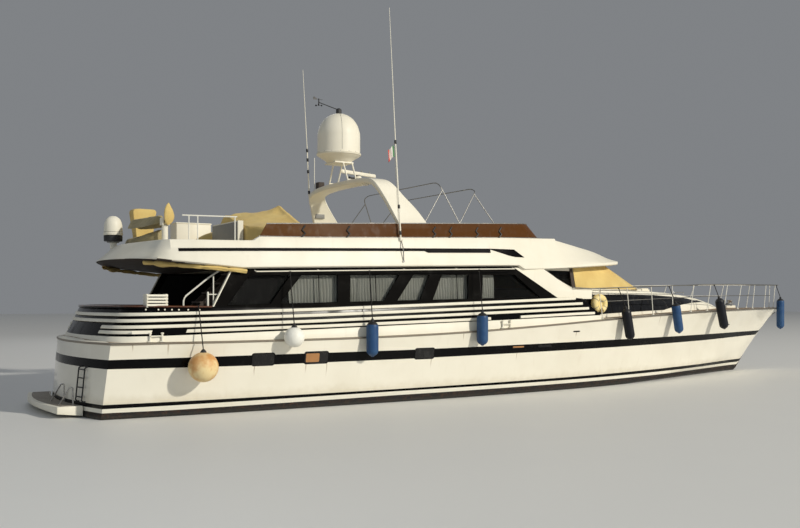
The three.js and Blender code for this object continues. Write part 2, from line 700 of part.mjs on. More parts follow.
function windVane() {
  const hub = turned([[0, 0], [18, 0], [18, 40], [0, 40]], 0, 0, 0, 8);
  const tail = box(-170, -40, -3, 3, 5, 75);
  const nose = rod([-60, 0, 20], [110, 0, 20], 6, 6);
  return join(hub, tail, nose).translate(windX, windY, windZ + 60 + seatGap);
}

function windCups() {
  const hub = turned([[0, -40], [16, -40], [16, 0], [0, 0]], 0, 0, 0, 8);
  const arms = [0, 120, 240].map((a) => {
    const arm = rod([0, 0, -20], [90, 0, -20], 4, 6);
    const cup = rod([90, -14, -20], [90, 22, -20], 8, 8, 24);
    return join(arm, cup).rotateZ(radians(a));
  });
  return join(hub, ...arms).translate(windX, windY, windZ - 60 - seatGap);
}

function whip(side) {
  if (side < 0) {
    const base = box(7330, 7430, -2990, -2885, 4120, 4200);
    const mast = rod([7380, -2930, 4150], [7380, -2660, 6700], 22, 8, 18);
    const tip = rod([7380, -2664, 6670], [7380, -2350, 10230], 14, 8, 6);
    return cut(join(base, mast, tip), moved(flybridge, 0, 0, seatGap), moved(flyScreen(), 0, -seatGap, 0));
  }
  const mast = rod([7130, 1990, 5700], [7060, 1990, 7100], 22, 8, 18);
  const tip = rod([7062, 1990, 7070], [6920, 1990, 9480], 14, 8, 6);
  return cut(join(mast, tip), moved(arch, 0, 0, seatGap), moved(arch, -seatGap, 0, seatGap));
}

function smallDome() {
  const profile = [[0, 0], [235, 0], [240, 130], [225, 150], [245, 160], [245, 230], [235, 245], [230, 420], [190, 560],
    [110, 640], [0, 665]];
  const post = box(1170, 1320, 1430, 1570, 3850, 4155);
  return seatedOn(join(turned(profile, 1240, 1500, 4145, 24), post), flybridge);
}

// Bimini frame over the helm: two crossed hoops, each propped
// columns: x, half breadth and height of the rail that carries the hoops
const biminiFeet = [
  [8250, 2370, 4330],
  [9000, 2410, 4350],
  [9700, 2440, 4370],
  [11000, 2440, 4400],
];

function biminiFrame() {
  const hoop = (foot, head, height, half) => rail([
    [foot, -2440, 4360], [head, -half, height], [head + 20, -half + 250, height + 90], [head + 20, half - 250, height + 90],
    [head, half, height], [foot, 2440, 4360],
  ], 14, 6);
  const struts = [-1, 1].flatMap((side) => [
    rail([[8250, side * 2370, 4330], [9148, side * 2179, 5600]], 12, 6),
    rail([[11000, side * 2440, 4390], [10215, side * 2170, 5550]], 12, 6),
  ]);
  const feet = [-1, 1].map((side) => rail(biminiFeet.map(([x, y, z]) => [x, side * y, z]), 14, 6));
  const posts = [-1, 1].flatMap((side) => biminiFeet.map(([x, y, z]) => rod([x, side * y, 3560], [x, side * y, z], 16, 6)));
  return seatedOn(join(hoop(9750, 9080, 5740, 2150), hoop(9350, 10280, 5640, 2150), ...struts, ...feet, ...posts),
    flybridge);
}

// Covered tender on the aft flybridge, its crane and the covers ahead of it
function tenderBody() {
  const stations = [[-1150, 90, 330], [-800, 300, 290], [-200, 430, 240], [600, 430, 240], [1150, 350, 250]];
  const rings = stations.map(([y, half, keel]) => [
    [-half * 0.5, y, keel],
    [-half, y, keel + 190],
    [-half * 0.8, y, keel + 400],
    [0, y, keel + 470],
    [half * 0.8, y, keel + 400],
    [half, y, keel + 190],
    [half * 0.5, y, keel],
  ]);
  const boat = loft(rings);
  const hood = loft([[200, 550], [335, 1470]].map(([half, z]) => [
    [100 - half, 700, z],
    [100 + half, 700, z],
    [100 + half, 1100, z],
    [100 - half, 1100, z],
  ]));
  const chocks = [-500, 500].map((y) => box(-330, 330, y - 40, y + 40, -120, 420));
  return clearOf(join(boat, hood, ...chocks).translate(1980, 850, 3600), flybridge);
}

const craneX = 1900;
const craneY = -900;
const craneTurn = 98;
const craneHeadFoot = 4280.3;

function craneColumn() {
  return seatedOn(turned([[0, 3500], [110, 3500], [90, 3640], [75, 3720], [75, 4280], [0, 4280]], craneX, craneY, 0, 16),
    flybridge);
}

function craneHead() {
  const post = turned([[0, 0], [75, 0], [75, 160], [0, 160]], 0, 0, 0, 16);
  const ears = [-90, 60].map((y) => box(-70, 90, y, y + 30, 150, 330));
  return join(post, ...ears).rotateZ(radians(craneTurn)).translate(craneX, craneY, craneHeadFoot);
}

// columns: run along the boom, half breadth at the foot and head of its hung cover, height of the foot and head
const boomCoverStations = [
  [0, 50, 50, -55, 55],
  [120, 50, 50, -55, 55],
  [220, 240, 60, -105, 140],
  [1000, 230, 50, -145, 120],
  [1850, 170, 40, -150, 90],
  [2000, 60, 30, -60, 50],
];

function craneBoom() {
  const beam = loft(boomCoverStations.map(([x, foot, head, low, high]) => [
    [x, -foot, low], [x, foot, low], [x, head, high], [x, -head, high],
  ]));
  const eye = rod([0, -52, 0], [0, 52, 0], 62, 16);
  const pin = rod([0, -60 + seatGap, 0], [0, 60 - seatGap, 0], 25, 10);
  return join(beam, eye, pin).rotateY(radians(-2)).rotateZ(radians(craneTurn)).translate(craneX, craneY,
    craneHeadFoot + 249.7);
}

function flyCabinet() {
  return seatedOn(box(3720, 3860, -1050, 850, 3430, 4620), flybridge);
}

// columns: x, half breadth, height of the side, y and height of the ridge of the cover over the seats
const seatCoverStations = [
  [3900, 1300, 4450, 450, 4910],
  [4300, 2300, 4350, 250, 4980],
  [5200, 2350, 4300, -200, 5170],
  [5600, 2300, 4200, -200, 4850],
  [6100, 2100, 4050, -100, 4500],
  [6700, 1700, 3850, 0, 4200],
];

function seatCover() {
  const whole = loft(seatCoverStations.map(([x, half, side, ridge, top]) => [
    [x, -half, 3450],
    [x, -half, side],
    [x, ridge, top],
    [x, half, side],
    [x, half, 3450],
  ]));
  const lobe = loft([[3250, 3900], [3500, 4300], [3960, 4500]].map(([x, top]) => [
    [x, 870, 3450],
    [x, 870, top - 150],
    [x, 1100, top],
    [x, 1650, top],
    [x, 1880, top - 150],
    [x, 1880, 3450],
  ]));
  return seatedOn(join(whole, lobe), flybridge);
}

function flyHelm() {
  const desk = sidePlate([[11400, 3500], [12050, 3500], [12050, 4380], [11700, 4380], [11400, 4200]], -900, 900);
  return seatedOn(desk, flybridge);
}

function flyAftRail() {
  const top = rail([[1790, -2610, 4540], [3050, -2745, 4545]], 16, 6);
  const posts = [[1940, -2626], [2140, -2647], [3000, -2740]].map(([x, y]) => rod([x, y, 3560], [x, y, 4540], 14, 6));
  return seatedOn(join(top, ...posts), flybridge);
}

// Stair from the cockpit to the flybridge, with its handrail
function stair() {
  const treads = steps(0, 7, 7).map((i) => box(1500 + i * 240, 1760 + i * 240, -2560, -1960, 1880 + i * 220, 1920 + i * 220));
  const stringers = [-2560, -2000].map((y) => sidePlate([[1400, 1600], [1640, 1600], [3560, 3520], [3560, 3640], [3440, 3640],
    [1400, 1760]], y, y + 40));
  const handrail = rail([[1840, -2545, 1950], [1840, -2545, 2660], [2420, -2545, 3120], [2700, -2545, 3300]], 18, 6);
  return seatedUnder(seatedOn(join(...treads, ...stringers, handrail), hull), flybridge);
}

function capRail() {
  const foot = 2444.6;
  const post = rod([2330, -2795, foot], [2330, -2795, 2800], 24, 8);
  const bar = rail([[2330, -2795, 2740], [2620, -2795, 2740]], 14, 6);
  const prop = rod([2460, -2795, foot], [2460, -2795, 3150], 14, 6);
  return join(post, bar, prop);
}

function capLocker() {
  const slats = steps(0, 3, 3).map((i) => box(930, 1400, -2830, -2520, 2480 + i * 70, 2525 + i * 70));
  const ends = [930, 1360].map((x) => box(x, x + 40, -2790, -2540, 2450, 2745));
  return clearOf(join(...slats, ...ends), bulwark);
}

function awning() {
  const run = rail([[1100, -1950, 3450], [1500, -2380, 3400], [2200, -2700, 3340], [2760, -2790, 3270]], 60, 8);
  return seatedUnder(run, flybridge);
}

function cockpitSofa() {
  const seat = box(640, 1250, -1700, 1700, 1640, 2150);
  const back = box(560, 700, -1700, 1700, 1640, 2400);
  return cut(seatedOn(join(seat, back), hull), moved(bulwark, seatGap, 0, 0));
}

function cockpitTable() {
  const top = box(1500, 2300, -650, 650, 2360, 2400);
  const leg = rod([1900, 0, 1600], [1900, 0, 2380], 60, 12);
  return seatedOn(join(top, leg), hull);
}

// Flat ladder on the transom, its ends turned in
function transomLadder() {
  const sides = [-1880, -1570];
  const face = (y, z, off) => [transomRake * z - transomBulge * (1 - (y / transomHalf) ** 2) - off, y, z];
  const rails = sides.map((y) => rail([face(y, 1120, -40), face(y, 1120, 65), face(y, 340, 65), face(y, 340, -40)], 18, 6));
  const rungs = [450, 660, 870, 1060].map((z) => rod(...sides.map((y) => face(y, z, 65)), 15, 6));
  return cut(join(...rails, ...rungs), moved(hull, -seatGap, 0, 0));
}

const platform = platformBody();

// Bow rail, both sides and the pulpit in one run of tube
// columns: x, half breadth and height of the rail's head
const railLine = [
  [13330, 2700, 2970],
  [14050, 2660, 2940],
  [16300, 2450, 3010],
  [19900, 1830, 3120],
  [22000, 1300, 3150],
  [24000, 690, 3160],
  [25500, 220, 3170],
  [26150, 60, 3170],
];
// columns: x of each stanchion's foot, how far its head leans forward
const stanchions = [
  [14450, 0],
  [15700, 0],
  [16900, 0],
  [18000, 60],
  [19070, 230],
  [20120, 280],
  [21330, 290],
  [22430, 330],
  [23740, 210],
  [24870, 160],
  [25800, 90],
];

function bowRail() {
  const head = (x) => [x, -line(railLine, x, 1), line(railLine, x, 2)];
  const middle = (x) => [x - 80, -line(railLine, x, 1) - 25, line(railLine, x, 2) - 400];
  const both = (points) => [...points, ...points.map(mirrorPoint).reverse()];
  const heads = rail(both([13340, 14100, 16300, 19900, 22000, 24000, 25500, 26150].map(head)), 17, 6);
  const middles = rail(both([[14450, -line(railLine, 14450, 1) - 20, 2540], ...[16300, 19900, 22000, 24000, 25500].map(
    middle)]), 11, 5);
  const posts = stanchions.map(([x, lean]) => rod([x, -deckHalf(x) + 110, deckEdge(x) - 20], head(x + lean), 13, 5));
  return seatedOn(join(heads, middles, ...posts, ...posts.map(mirrored)), hull);
}

function mirrorPoint([x, y, z]) {
  return [x, -y, z];
}

const bowTube = bowRail();

function windlass() {
  const bed = box(23000, 23500, -220, 220, 2200, 2400);
  const drums = [-150, 150].map((y) => turned([[0, 0], [90, 0], [60, 70], [60, 120], [95, 180], [95, 210], [0, 210]],
    23250, y, 2390, 16));
  return seatedOn(join(bed, ...drums), hull);
}

function lifebuoy() {
  const ring = new THREE.TorusGeometry(240, 60, 8, 24).rotateX(Math.PI / 2).translate(14520, -2560, 2490);
  const strap = box(14505, 14535, -2620, -2580, 2700, 2945);
  return clearOf(join(ring, strap), bowTube);
}

// Running gear: shafts, propellers and rudders
function shaftLine(side) {
  const y = side * propellerY;
  const along = (run) => [propellerX + 50 + run * Math.cos(radians(shaftTilt)), y,
    propellerZ + run * Math.sin(radians(shaftTilt))];
  const shaft = rod(along(seatGap), along(3450), 40, 10);
  const bossLeg = loft([[0, 90, 18], [1, 130, 25]].map(([t, chord, half]) => [
    [propellerX + 330 - chord, y - half, propellerZ + 10 + t * 900],
    [propellerX + 330 + chord, y - half, propellerZ + 10 + t * 900],
    [propellerX + 330 + chord, y + half, propellerZ + 10 + t * 900],
    [propellerX + 330 - chord, y + half, propellerZ + 10 + t * 900],
  ]));
  const barrel = rod(along(130), along(430), 75, 12);
  return cut(join(shaft, bossLeg, barrel), moved(hull, 0, 0, -seatGap));
}

function propeller(side) {
  const hub = rod([0, 0, 0], [-150, 0, 0], 75, 12, 50);
  const blades = [0, 90, 180, 270].map((a) => {
    const blade = loft([[40, 110, 40], [200, 180, 30], [340, 150, 22], [400, 60, 18]].map(([r, chord, pitch]) => {
      const t = radians(pitch + 30);
      const [cx, cy] = [Math.cos(t), Math.sin(t)];
      return [[-chord, -8], [chord, -8], [chord, 8], [-chord, 8]].map(([u, v]) => [
        -75 + (u * cx - v * cy) * 0.5,
        (u * cy + v * cx) * side,
        r,
      ]);
    }));
    return blade.rotateX(radians(a));
  });
  return join(hub, ...blades).rotateY(radians(-shaftTilt)).translate(propellerX + 50, side * propellerY, propellerZ);
}

function rudder(side) {
  const blade = loft([[0, 1, 24], [1, 0.72, 16]].map(([t, size, half]) => {
    const z = -800 - t * 760;
    return [[220 * size, 0], [60 * size, -half], [-420 * size, -4], [-420 * size, 4], [60 * size, half]].map(([x, y]) => [
      x, y, z,
    ]);
  }));
  const stock = rod([0, 0, -830], [0, 0, rudderCollarFoot - seatGap], 38, 10);
  return join(blade, stock).translate(rudderX, side * propellerY, 0);
}

// Fenders along starboard, each on its lanyard
// columns: name, x, height of the middle, radius, half length of the straight part, how far the foot swings forward
const fenders = [
  ["orange_ball", 2065, 1120, 335, 0, 0],
  ["white_ball", 4230, 1743, 240, 0, 0],
  ["long_one", 6350, 1660, 150, 280, 0],
  ["long_two", 9680, 1845, 150, 280, 0],
  ["navy_one", 15320, 1885, 143, 330, 200],
  ["long_three", 17880, 2030, 140, 340, 180],
  ["navy_two", 20650, 2145, 150, 385, 280],
  ["bow", 25975, 2075, 140, 435, 0],
];

function hullHalf(x, z) {
  const [chineY, chineZ, edgeY, edgeZ] = [1, 2, 3, 4].map((column) => sample(hullStations, x, column));
  return chineY + (edgeY - chineY) * Math.min(1, (z - chineZ) / (edgeZ - chineZ));
}

function fender([, x, z, radius, straight, swing], tie) {
  const y = -(hullHalf(x - swing / 2, z + straight + radius * 0.3) + radius + 9);
  const arc = steps(0, Math.PI / 2, 4).map((a, i, all) => [i === all.length - 1 ? 0 : radius * Math.cos(a),
    radius * Math.sin(a) + straight]);
  const lower = [...arc].reverse().map(([r, h]) => [r, -h]);
  const body = turned(straight ? [...lower, ...arc] : [...lower, ...arc.slice(1)], 0, 0, 0, 12);
  const top = straight + radius;
  const eye = rod([0, 0, top - 20], [0, 0, top + 60], 28, 6);
  const turn = -Math.asin(swing / (2 * top));
  const whole = join(body, eye).rotateY(turn).translate(x, y, z);
  const head = [x + (top + 40) * Math.sin(turn), y, z + (top + 40) * Math.cos(turn)];
  return join(whole, rail([head, ...tie(x)], 8, 4));
}

const toGrabRail = (x) => [[x, -(deckHalf(x) + 90), roofUnder(x) - 30]];
const toCap = (x) => [[x, -deckHalf(x) + 70, capHeight(x) + 20], [x, -deckHalf(x) + 170, capHeight(x) + 8]];
const toBowRail = (x) => [[x, -line(railLine, x, 1), line(railLine, x, 2)]];

function foreFender(row) {
  const whole = fender(row, toBowRail);
  return cut(whole, moved(bowTube, 0, -seatGap, 0), moved(bowTube, 0, 0, -seatGap));
}

// Grab rail under the flybridge's edge, and the four fenders that hang from it
function fendersAft() {
  const path = [3300, 5000, 7400, 9000, 10900].map((x) => [x, -(deckHalf(x) + 90), line(flyStations, x, 2) - 30]);
  const brackets = path.map(([x, y, z]) => rod([x, y, z], [x, y + 190, z + 90], 12, 6));
  const hung = fenders.slice(1, 4).map((row) => fender(row, toGrabRail));
  return clearOf(join(rail(path, 14, 6), ...brackets, ...hung), flybridge);
}

// Finishes
const finish = (color, roughness, metalness = 0) => () => new THREE.MeshStandardMaterial({ color, roughness, metalness });
const gelcoat = finish(0xf2ead6, 0.25);
const gloss = finish(0x14120f, 0.2);
const glass = finish(0x1c1a18, 0.1);
const tinted = finish(0x5a3018, 0.15);
const canvas = finish(0xc9a25e, 0.85);
const steel = finish(0xc8c8c4, 0.2, 1);
const bronze = finish(0x9a6b32, 0.35, 1);
const dark = finish(0x202022, 0.6);
const cloth = finish(0x9a9c8e, 0.9);
const teak = finish(0x8a5f38, 0.6);

const group = new THREE.Group();
const yacht = new THREE.Group();
yacht.position.x = -midships;
group.add(yacht);

function place(name, geometry, material) {
  const mesh = new THREE.Mesh(geometry, material());
  mesh.name = name;
  yacht.add(mesh);
}

place("hull", hullWithWell, gelcoat);
place("bulwark", bulwark, gloss);
place("swim_platform", platform, gelcoat);
place("transom_ladder", transomLadder(), dark);
place("cabin_side_starboard", cabinSide(cabinPanel()), gloss);
place("cabin_side_port", cabinSide(mirrored(cabinPanel())), gloss);
place("side_glass_starboard", sideGlass(), glass);
place("side_glass_port", mirrored(sideGlass()), glass);
place("curtains_starboard", seatedUnder(curtainSheet(), flybridge), cloth);
place("curtains_port", seatedUnder(mirrored(curtainSheet()), flybridge), cloth);
place("aft_bulkhead", aftBulkhead(), gloss);
for (const [name, side] of [["starboard", -1], ["port", 1]]) {
  place("saloon_door_" + name, saloonDoor(side), steel);
  place("shaft_" + name, shaftLine(side), steel);
  place("propeller_" + name, propeller(side), bronze);
  place("rudder_" + name, rudder(side), bronze);
  place("whip_" + name, whip(side), gelcoat);
}
place("flybridge", flybridge, gelcoat);
place("fly_screen", flyScreen(), tinted);
place("coachroof", coachroof, gelcoat);
place("wheelhouse", wheelhouseShell(), gelcoat);
place("wheelhouse_glass", wheelhouseGlass(), glass);
place("windscreen_cover", windscreenCover(), canvas);
place("foredeck_hatch", foredeckHatch(), gelcoat);
place("radar_arch", arch, gelcoat);
place("mast_stand", mastStand(), gelcoat);
place("satellite_dome", domeBody(), gelcoat);
place("radar_scanner", radarScanner(), gelcoat);
place("wind_arm", windArm(), dark);
place("wind_vane", windVane(), dark);
place("wind_cups", windCups(), dark);
place("small_dome", smallDome(), gelcoat);
place("bimini_frame", biminiFrame(), steel);
place("covered_tender", tenderBody(), canvas);
place("crane_column", craneColumn(), gelcoat);
place("crane_head", craneHead(), gelcoat);
place("crane_boom", craneBoom(), canvas);
place("fly_cabinet", flyCabinet(), dark);
place("settee_cover", seatCover(), canvas);
place("fly_helm", flyHelm(), gelcoat);
place("fly_rail", flyAftRail(), steel);
place("stair", stair(), teak);
place("cap_rail", capRail(), steel);
place("cap_locker", capLocker(), gelcoat);
place("awning", awning(), canvas);
place("cockpit_sofa", cockpitSofa(), cloth);
place("cockpit_table", cockpitTable(), teak);
place("bow_rail", bowTube, steel);
place("windlass", windlass(), steel);
place("lifebuoy", lifebuoy(), canvas);
place("fenders_aft", fendersAft(), cloth);
place("fender_" + fenders[0][0], seatedOn(fender(fenders[0], toCap), bulwark), cloth);
for (const row of fenders.slice(4)) place("fender_" + row[0], foreFender(row), cloth);

export default group;
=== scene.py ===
"""Finishes and fittings of a motor yacht of about 27 m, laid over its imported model.

Lengths are metres. In every table X is counted from the transom's corner, as in the construction, and
`fit` sets each finished piece back to the frame's origin amidships. Y runs to port and Z up from the
waterline.
"""

import json
import math

import bmesh
import bpy
from mathutils import Matrix, Vector, noise

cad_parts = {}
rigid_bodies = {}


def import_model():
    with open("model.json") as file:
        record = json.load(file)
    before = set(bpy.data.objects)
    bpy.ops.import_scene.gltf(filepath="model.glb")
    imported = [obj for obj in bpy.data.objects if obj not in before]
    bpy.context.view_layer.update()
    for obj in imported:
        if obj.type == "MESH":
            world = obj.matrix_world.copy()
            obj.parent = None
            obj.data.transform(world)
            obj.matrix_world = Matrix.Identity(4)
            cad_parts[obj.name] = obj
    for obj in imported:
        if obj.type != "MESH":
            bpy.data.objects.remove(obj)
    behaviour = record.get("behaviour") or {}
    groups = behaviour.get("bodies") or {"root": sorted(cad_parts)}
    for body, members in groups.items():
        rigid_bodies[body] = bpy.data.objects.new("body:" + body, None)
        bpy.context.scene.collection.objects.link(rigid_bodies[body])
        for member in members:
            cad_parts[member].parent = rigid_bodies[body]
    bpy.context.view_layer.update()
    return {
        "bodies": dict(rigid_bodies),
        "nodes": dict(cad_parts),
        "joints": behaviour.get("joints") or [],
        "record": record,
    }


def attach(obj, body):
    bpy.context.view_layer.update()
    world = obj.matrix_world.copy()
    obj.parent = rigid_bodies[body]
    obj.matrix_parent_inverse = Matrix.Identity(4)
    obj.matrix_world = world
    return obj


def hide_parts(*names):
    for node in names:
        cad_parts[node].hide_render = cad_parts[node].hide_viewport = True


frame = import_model()
bpy.ops.object.select_all(action="DESELECT")

# the camera: its place, its turn in degrees, its sensor, and the picture's frame in pixels
CAMERA = (-4.63, -22.96, 2.635)
CAMERA_TURN = -30.9
SENSOR_WIDTH = 36
FRAME_WIDTH = 800
FOCAL_PIXELS = 915
HORIZON_PIXELS = 35
VIEW_LIMIT = 500
# one turn of a wave in a weave or a rope's lay
TURN = 6.28
WELD = 1e-5
EASED_ANGLE = math.radians(40)

MIDSHIPS = 12.6
KEEL_HALF = 0.06
DECK_CAMBER = 0.06
TRANSOM_BULGE = 0.45
TRANSOM_HALF = 2.7
TRANSOM_RAKE = 0.1
BULWARK_FRONT = 14.33
BULWARK_THICKNESS = 0.15
BULWARK_INSET = 0.04
BULWARK_LEAN = 0.06
STERN_SET = 0.13
STERN_LEAN = 0.4
CORNER_RADIUS = 0.8
ROOF_THICKNESS = 0.12
COAMING_THICKNESS = 0.14
DOME_X = 7.105
DOME_FOOT = 6.4603
SCANNER = (8.1, 0.7, 6.2303)
SCANNER_TURN = 20
WIND = (6.57, 0.18, 8.14)
SMALL_DOME = (1.24, 1.5, 4.1453)
CRANE = (1.9, -0.9, 4.53)
CRANE_TURN = 98
BOOM_DROOP = -2
SALOON_WELL = ((4.3, 13.2), (-2.45, 2.45), (1.45, 2.6))
CAPPING_FRONT = 2.38
LIFEBUOY = (14.52, -2.56, 2.49)
# where the bulwark's head starts to slope down, its height there, and the slope
WALL_SLOPE = (13.52, 2.69, 0.5 / 0.81)
# the bulwark's stations that carry a pad
PAD_STATIONS = (4, 14, 22, 28, 34, 37, 40)

# columns: x, half breadth and height of the chine, half breadth and height of the deck edge
HULL = [
    (0, 2.54, -0.3, 2.76, 1.675),
    (1.5, 2.62, -0.32, 2.95, 1.68),
    (3, 2.68, -0.33, 3.06, 1.68),
    (6, 2.74, -0.33, 3.13, 1.7),
    (9, 2.74, -0.3, 3.15, 1.77),
    (12, 2.62, -0.22, 3.07, 1.91),
    (14.5, 2.4, -0.1, 2.88, 2.04),
    (17, 1.98, 0.08, 2.52, 2.14),
    (19.5, 1.42, 0.3, 2.03, 2.22),
    (21.5, 0.92, 0.52, 1.54, 2.26),
    (23, 0.5, 0.8, 1.1, 2.28),
    (24.2, 0.24, 1.15, 0.73, 2.29),
    (25.3, 0.11, 1.8, 0.37, 2.3),
    (26.3, 0.02, 2.27, 0.03, 2.305),
]
# columns: x, height of the keel and stem
KEEL = [
    (0, -1.0), (3, -1.25), (5.6, -1.42), (8, -1.5), (12.8, -1.5), (14.5, -1.48), (17, -1.38), (19.5, -1.15),
    (21.5, -0.8), (22.7, -0.42), (23.6, 0), (24.24, 0.71), (24.9, 1.33), (25.6, 1.93), (26.3, 2.265),
]
# columns: share of the half breadth, how far that line of the transom stands aft of its corner
TRANSOM = [(0, 0.45), (0.12, 0.443), (0.4, 0.378), (0.65, 0.26), (0.85, 0.125), (0.97, 0.027), (1, 0)]
# columns: x, height of the bulwark's head
CAP = [(-0.4, 2.465), (1.4, 2.45), (4.5, 2.43), (7.9, 2.53), (12, 2.64), (14.4, 2.7)]
# columns: x, lower edge of the white stripe, foot and head of the black line above it
BOOT_TOP = [
    (0, 0.15, 0.24, 0.33), (1.5, 0.14, 0.245, 0.33), (7.4, 0.18, 0.28, 0.34), (22, 0.2, 0.29, 0.4),
    (27, 0.22, 0.31, 0.43)
]
# columns: x, foot and head of the black band round the topsides
BAND = [
    (0, 1.11, 1.31), (3, 1.09, 1.33), (7.6, 1.11, 1.34), (14.6, 1.18, 1.41), (20.2, 1.22, 1.43),
    (24.3, 1.28, 1.44), (27, 1.31, 1.46)
]
# columns: x, heights of the four battens from the top one down, foot of the black wall
BATTENS = [
    (-0.5, 2.28, 2.14, 2.0, 1.89, 1.8),
    (1.37, 2.31, 2.17, 2.03, 1.91, 1.82),
    (5, 2.39, 2.25, 2.11, 1.98, 1.91),
    (9.8, 2.54, 2.39, 2.25, 2.1, 2.045),
    (13.4, 2.655, 2.5, 2.355, 2.21, 2.14),
    (14.4, 2.7, 2.53, 2.38, 2.23, 2.16),
]
# columns: x, half breadth and height of the flybridge's lower edge, half breadth and height of its upper edge
FLYBRIDGE = [
    (1.5, 2.8, 3.48, 2.62, 3.985),
    (2.1, 2.92, 3.43, 2.76, 3.99),
    (3.1, 3.01, 3.34, 2.86, 4.0),
    (3.42, 3.025, 3.348, 2.87, 4.01),
    (3.56, 3.03, 3.352, 2.875, 4.1),
    (5, 3.06, 3.388, 2.905, 4.125),
    (7.4, 3.075, 3.448, 2.92, 4.2),
    (10.7, 3.02, 3.53, 2.84, 4.315),
    (11.15, 3.0, 3.54, 2.8, 4.33),
    (11.35, 2.99, 3.44, 2.78, 4.335),
    (12.4, 2.88, 3.475, 2.56, 4.37),
    (12.95, 2.8, 3.505, 2.38, 4.395),
    (13, 2.795, 3.508, 2.36, 4.345),
    (14, 2.64, 3.57, 2.05, 4.225),
    (15, 2.35, 3.635, 1.72, 4.105),
    (15.7, 2.0, 3.685, 1.35, 4.02),
    (16.3, 1.5, 3.73, 0.9, 3.95),
    (16.7, 0.9, 3.765, 0.45, 3.9),
    (16.9, 0.3, 3.785, 0.15, 3.895),
]
# columns: share of the half breadth, x of that line of the flybridge's aft edge, share of the aft face's
# rake, how far the lower edge lifts
FLY_AFT = [
    (0, 0.592, 0.85, 0.1), (0.05, 0.594, 0.85, 0.1), (0.35, 0.68, 0.82, 0.095), (0.65, 0.896, 0.62, 0.08),
    (0.82, 1.077, 0.42, 0.06), (0.93, 1.212, 0.27, 0.04),
]
FLY_AFT_RAKE = 1.42
BROW_LIP = 0.1
# columns: x of each window's lower aft, lower fore, upper fore and upper aft corner
SALOON_WINDOWS = [
    (2.75, 3.8, 4.33, 3.29),
    (4.01, 5.55, 5.57, 4.6),
    (5.88, 6.85, 7.32, 5.91),
    (7.22, 7.92, 8.23, 7.73),
    (8.29, 9.43, 9.47, 8.6),
    (9.89, 11.95, 11.05, 9.93),
]
# columns: x, half breadth of the wheelhouse at its floor, half breadth at its roof, how far the roof
# stands aft there
WHEELHOUSE = [
    (12.2, 2.5, 2.46, 0),
    (13, 2.48, 2.42, 0),
    (13.68, 2.445, 2.35, 0.07),
    (14.5, 2.35, 2.2, 0.22),
    (15.5, 2.13, 1.9, 0.52),
    (16.6, 1.8, 1.5, 0.9),
    (17.38, 1.3, 1.02, 1.2),
    (17.8, 0.7, 0.54, 1.26),
    (17.96, 0, 0, 1.28),
]
# columns: x, half breadth at the deck, at the glazing's foot, at its head and at the roof's edge, height
# of the roof's edge, height of the roof's crown
COACHROOF = [
    (13.3, 2.56, 2.55, 2.53, 2.49, 2.88, 2.925),
    (14.5, 2.48, 2.45, 2.4, 2.33, 2.89, 2.925),
    (16, 2.26, 2.22, 2.14, 2.04, 2.89, 2.93),
    (17.6, 1.96, 1.9, 1.8, 1.68, 2.86, 2.95),
    (19.3, 1.58, 1.52, 1.42, 1.3, 2.77, 2.88),
    (20.6, 1.2, 1.14, 1.04, 0.9, 2.64, 2.76),
    (21.6, 0.8, 0.74, 0.64, 0.48, 2.51, 2.61),
    (22.4, 0.35, 0.3, 0.22, 0.12, 2.38, 2.44),
]
GLAZING_FOOT, GLAZING_HEAD = 0.3, 0.74
# columns: half breadth and height of the arch's outer face, half breadth and height of its inner face,
# x aft, x fore
ARCH = [
    (2.63, 3.56, 2.5, 3.56, 7.9, 9.08),
    (2.56, 4.3, 2.43, 4.3, 7.68, 8.7),
    (2.4, 4.9, 2.28, 4.86, 7.44, 8.32),
    (2.22, 5.35, 2.12, 5.28, 7.27, 7.94),
    (2.01, 5.72, 1.95, 5.6, 7.11, 7.66),
    (1.6, 5.86, 1.6, 5.73, 7.08, 7.56),
    (0.8, 5.92, 0.8, 5.79, 7.08, 7.56),
]
# columns: x, half breadth and height of the bow rail's head
RAIL = [
    (13.33, 2.7, 2.97), (14.05, 2.66, 2.94), (16.3, 2.45, 3.01), (19.9, 1.83, 3.12), (22, 1.3, 3.15),
    (24, 0.69, 3.16), (25.5, 0.22, 3.17), (26.15, 0.06, 3.17),
]
# columns: x of each stanchion's foot, how far its head leans forward
STANCHIONS = [
    (14.45, 0), (15.7, 0), (16.9, 0), (18, 0.06), (19.07, 0.23), (20.12, 0.28), (21.33, 0.29), (22.43, 0.33),
    (23.74, 0.21), (24.87, 0.16), (25.8, 0.09),
]


# Reading the tables
def sample(table, x, column):
    """A smooth curve through one column of a table, read at x."""
    last = len(table) - 1
    i = 0
    while i < last - 1 and table[i + 1][0] < x:
        i += 1

    def slope(k):
        a, b = table[max(0, k - 1)], table[min(last, k + 1)]
        return (b[column] - a[column]) / (b[0] - a[0])

    span = table[i + 1][0] - table[i][0]
    t = min(1, max(0, (x - table[i][0]) / span))
    v0, v1, m0, m1 = table[i][column], table[i + 1][column], slope(i) * span, slope(i + 1) * span
    t2, t3 = t * t, t * t * t
    return (2 * t3 - 3 * t2 + 1) * v0 + (t3 - 2 * t2 + t) * m0 + (3 * t2 - 2 * t3) * v1 + (t3 - t2) * m1


def line(table, x, column=1):
    """Straight lines through one column of a table, read at x."""
    i = 0
    while i < len(table) - 2 and table[i + 1][0] < x:
        i += 1
    a, b = table[i], table[i + 1]
    t = min(1, max(0, (x - a[0]) / (b[0] - a[0])))
    return a[column] + t * (b[column] - a[column])


def spread(start, end, count):
    return [start + (end - start) * i / count for i in range(count + 1)]


def mix(a, b, t):
    return tuple(p + (q - p) * t for p, q in zip(a, b))


def deck_half(x):
    return sample(HULL, x, 3)


def deck_edge(x):
    return sample(HULL, x, 4)


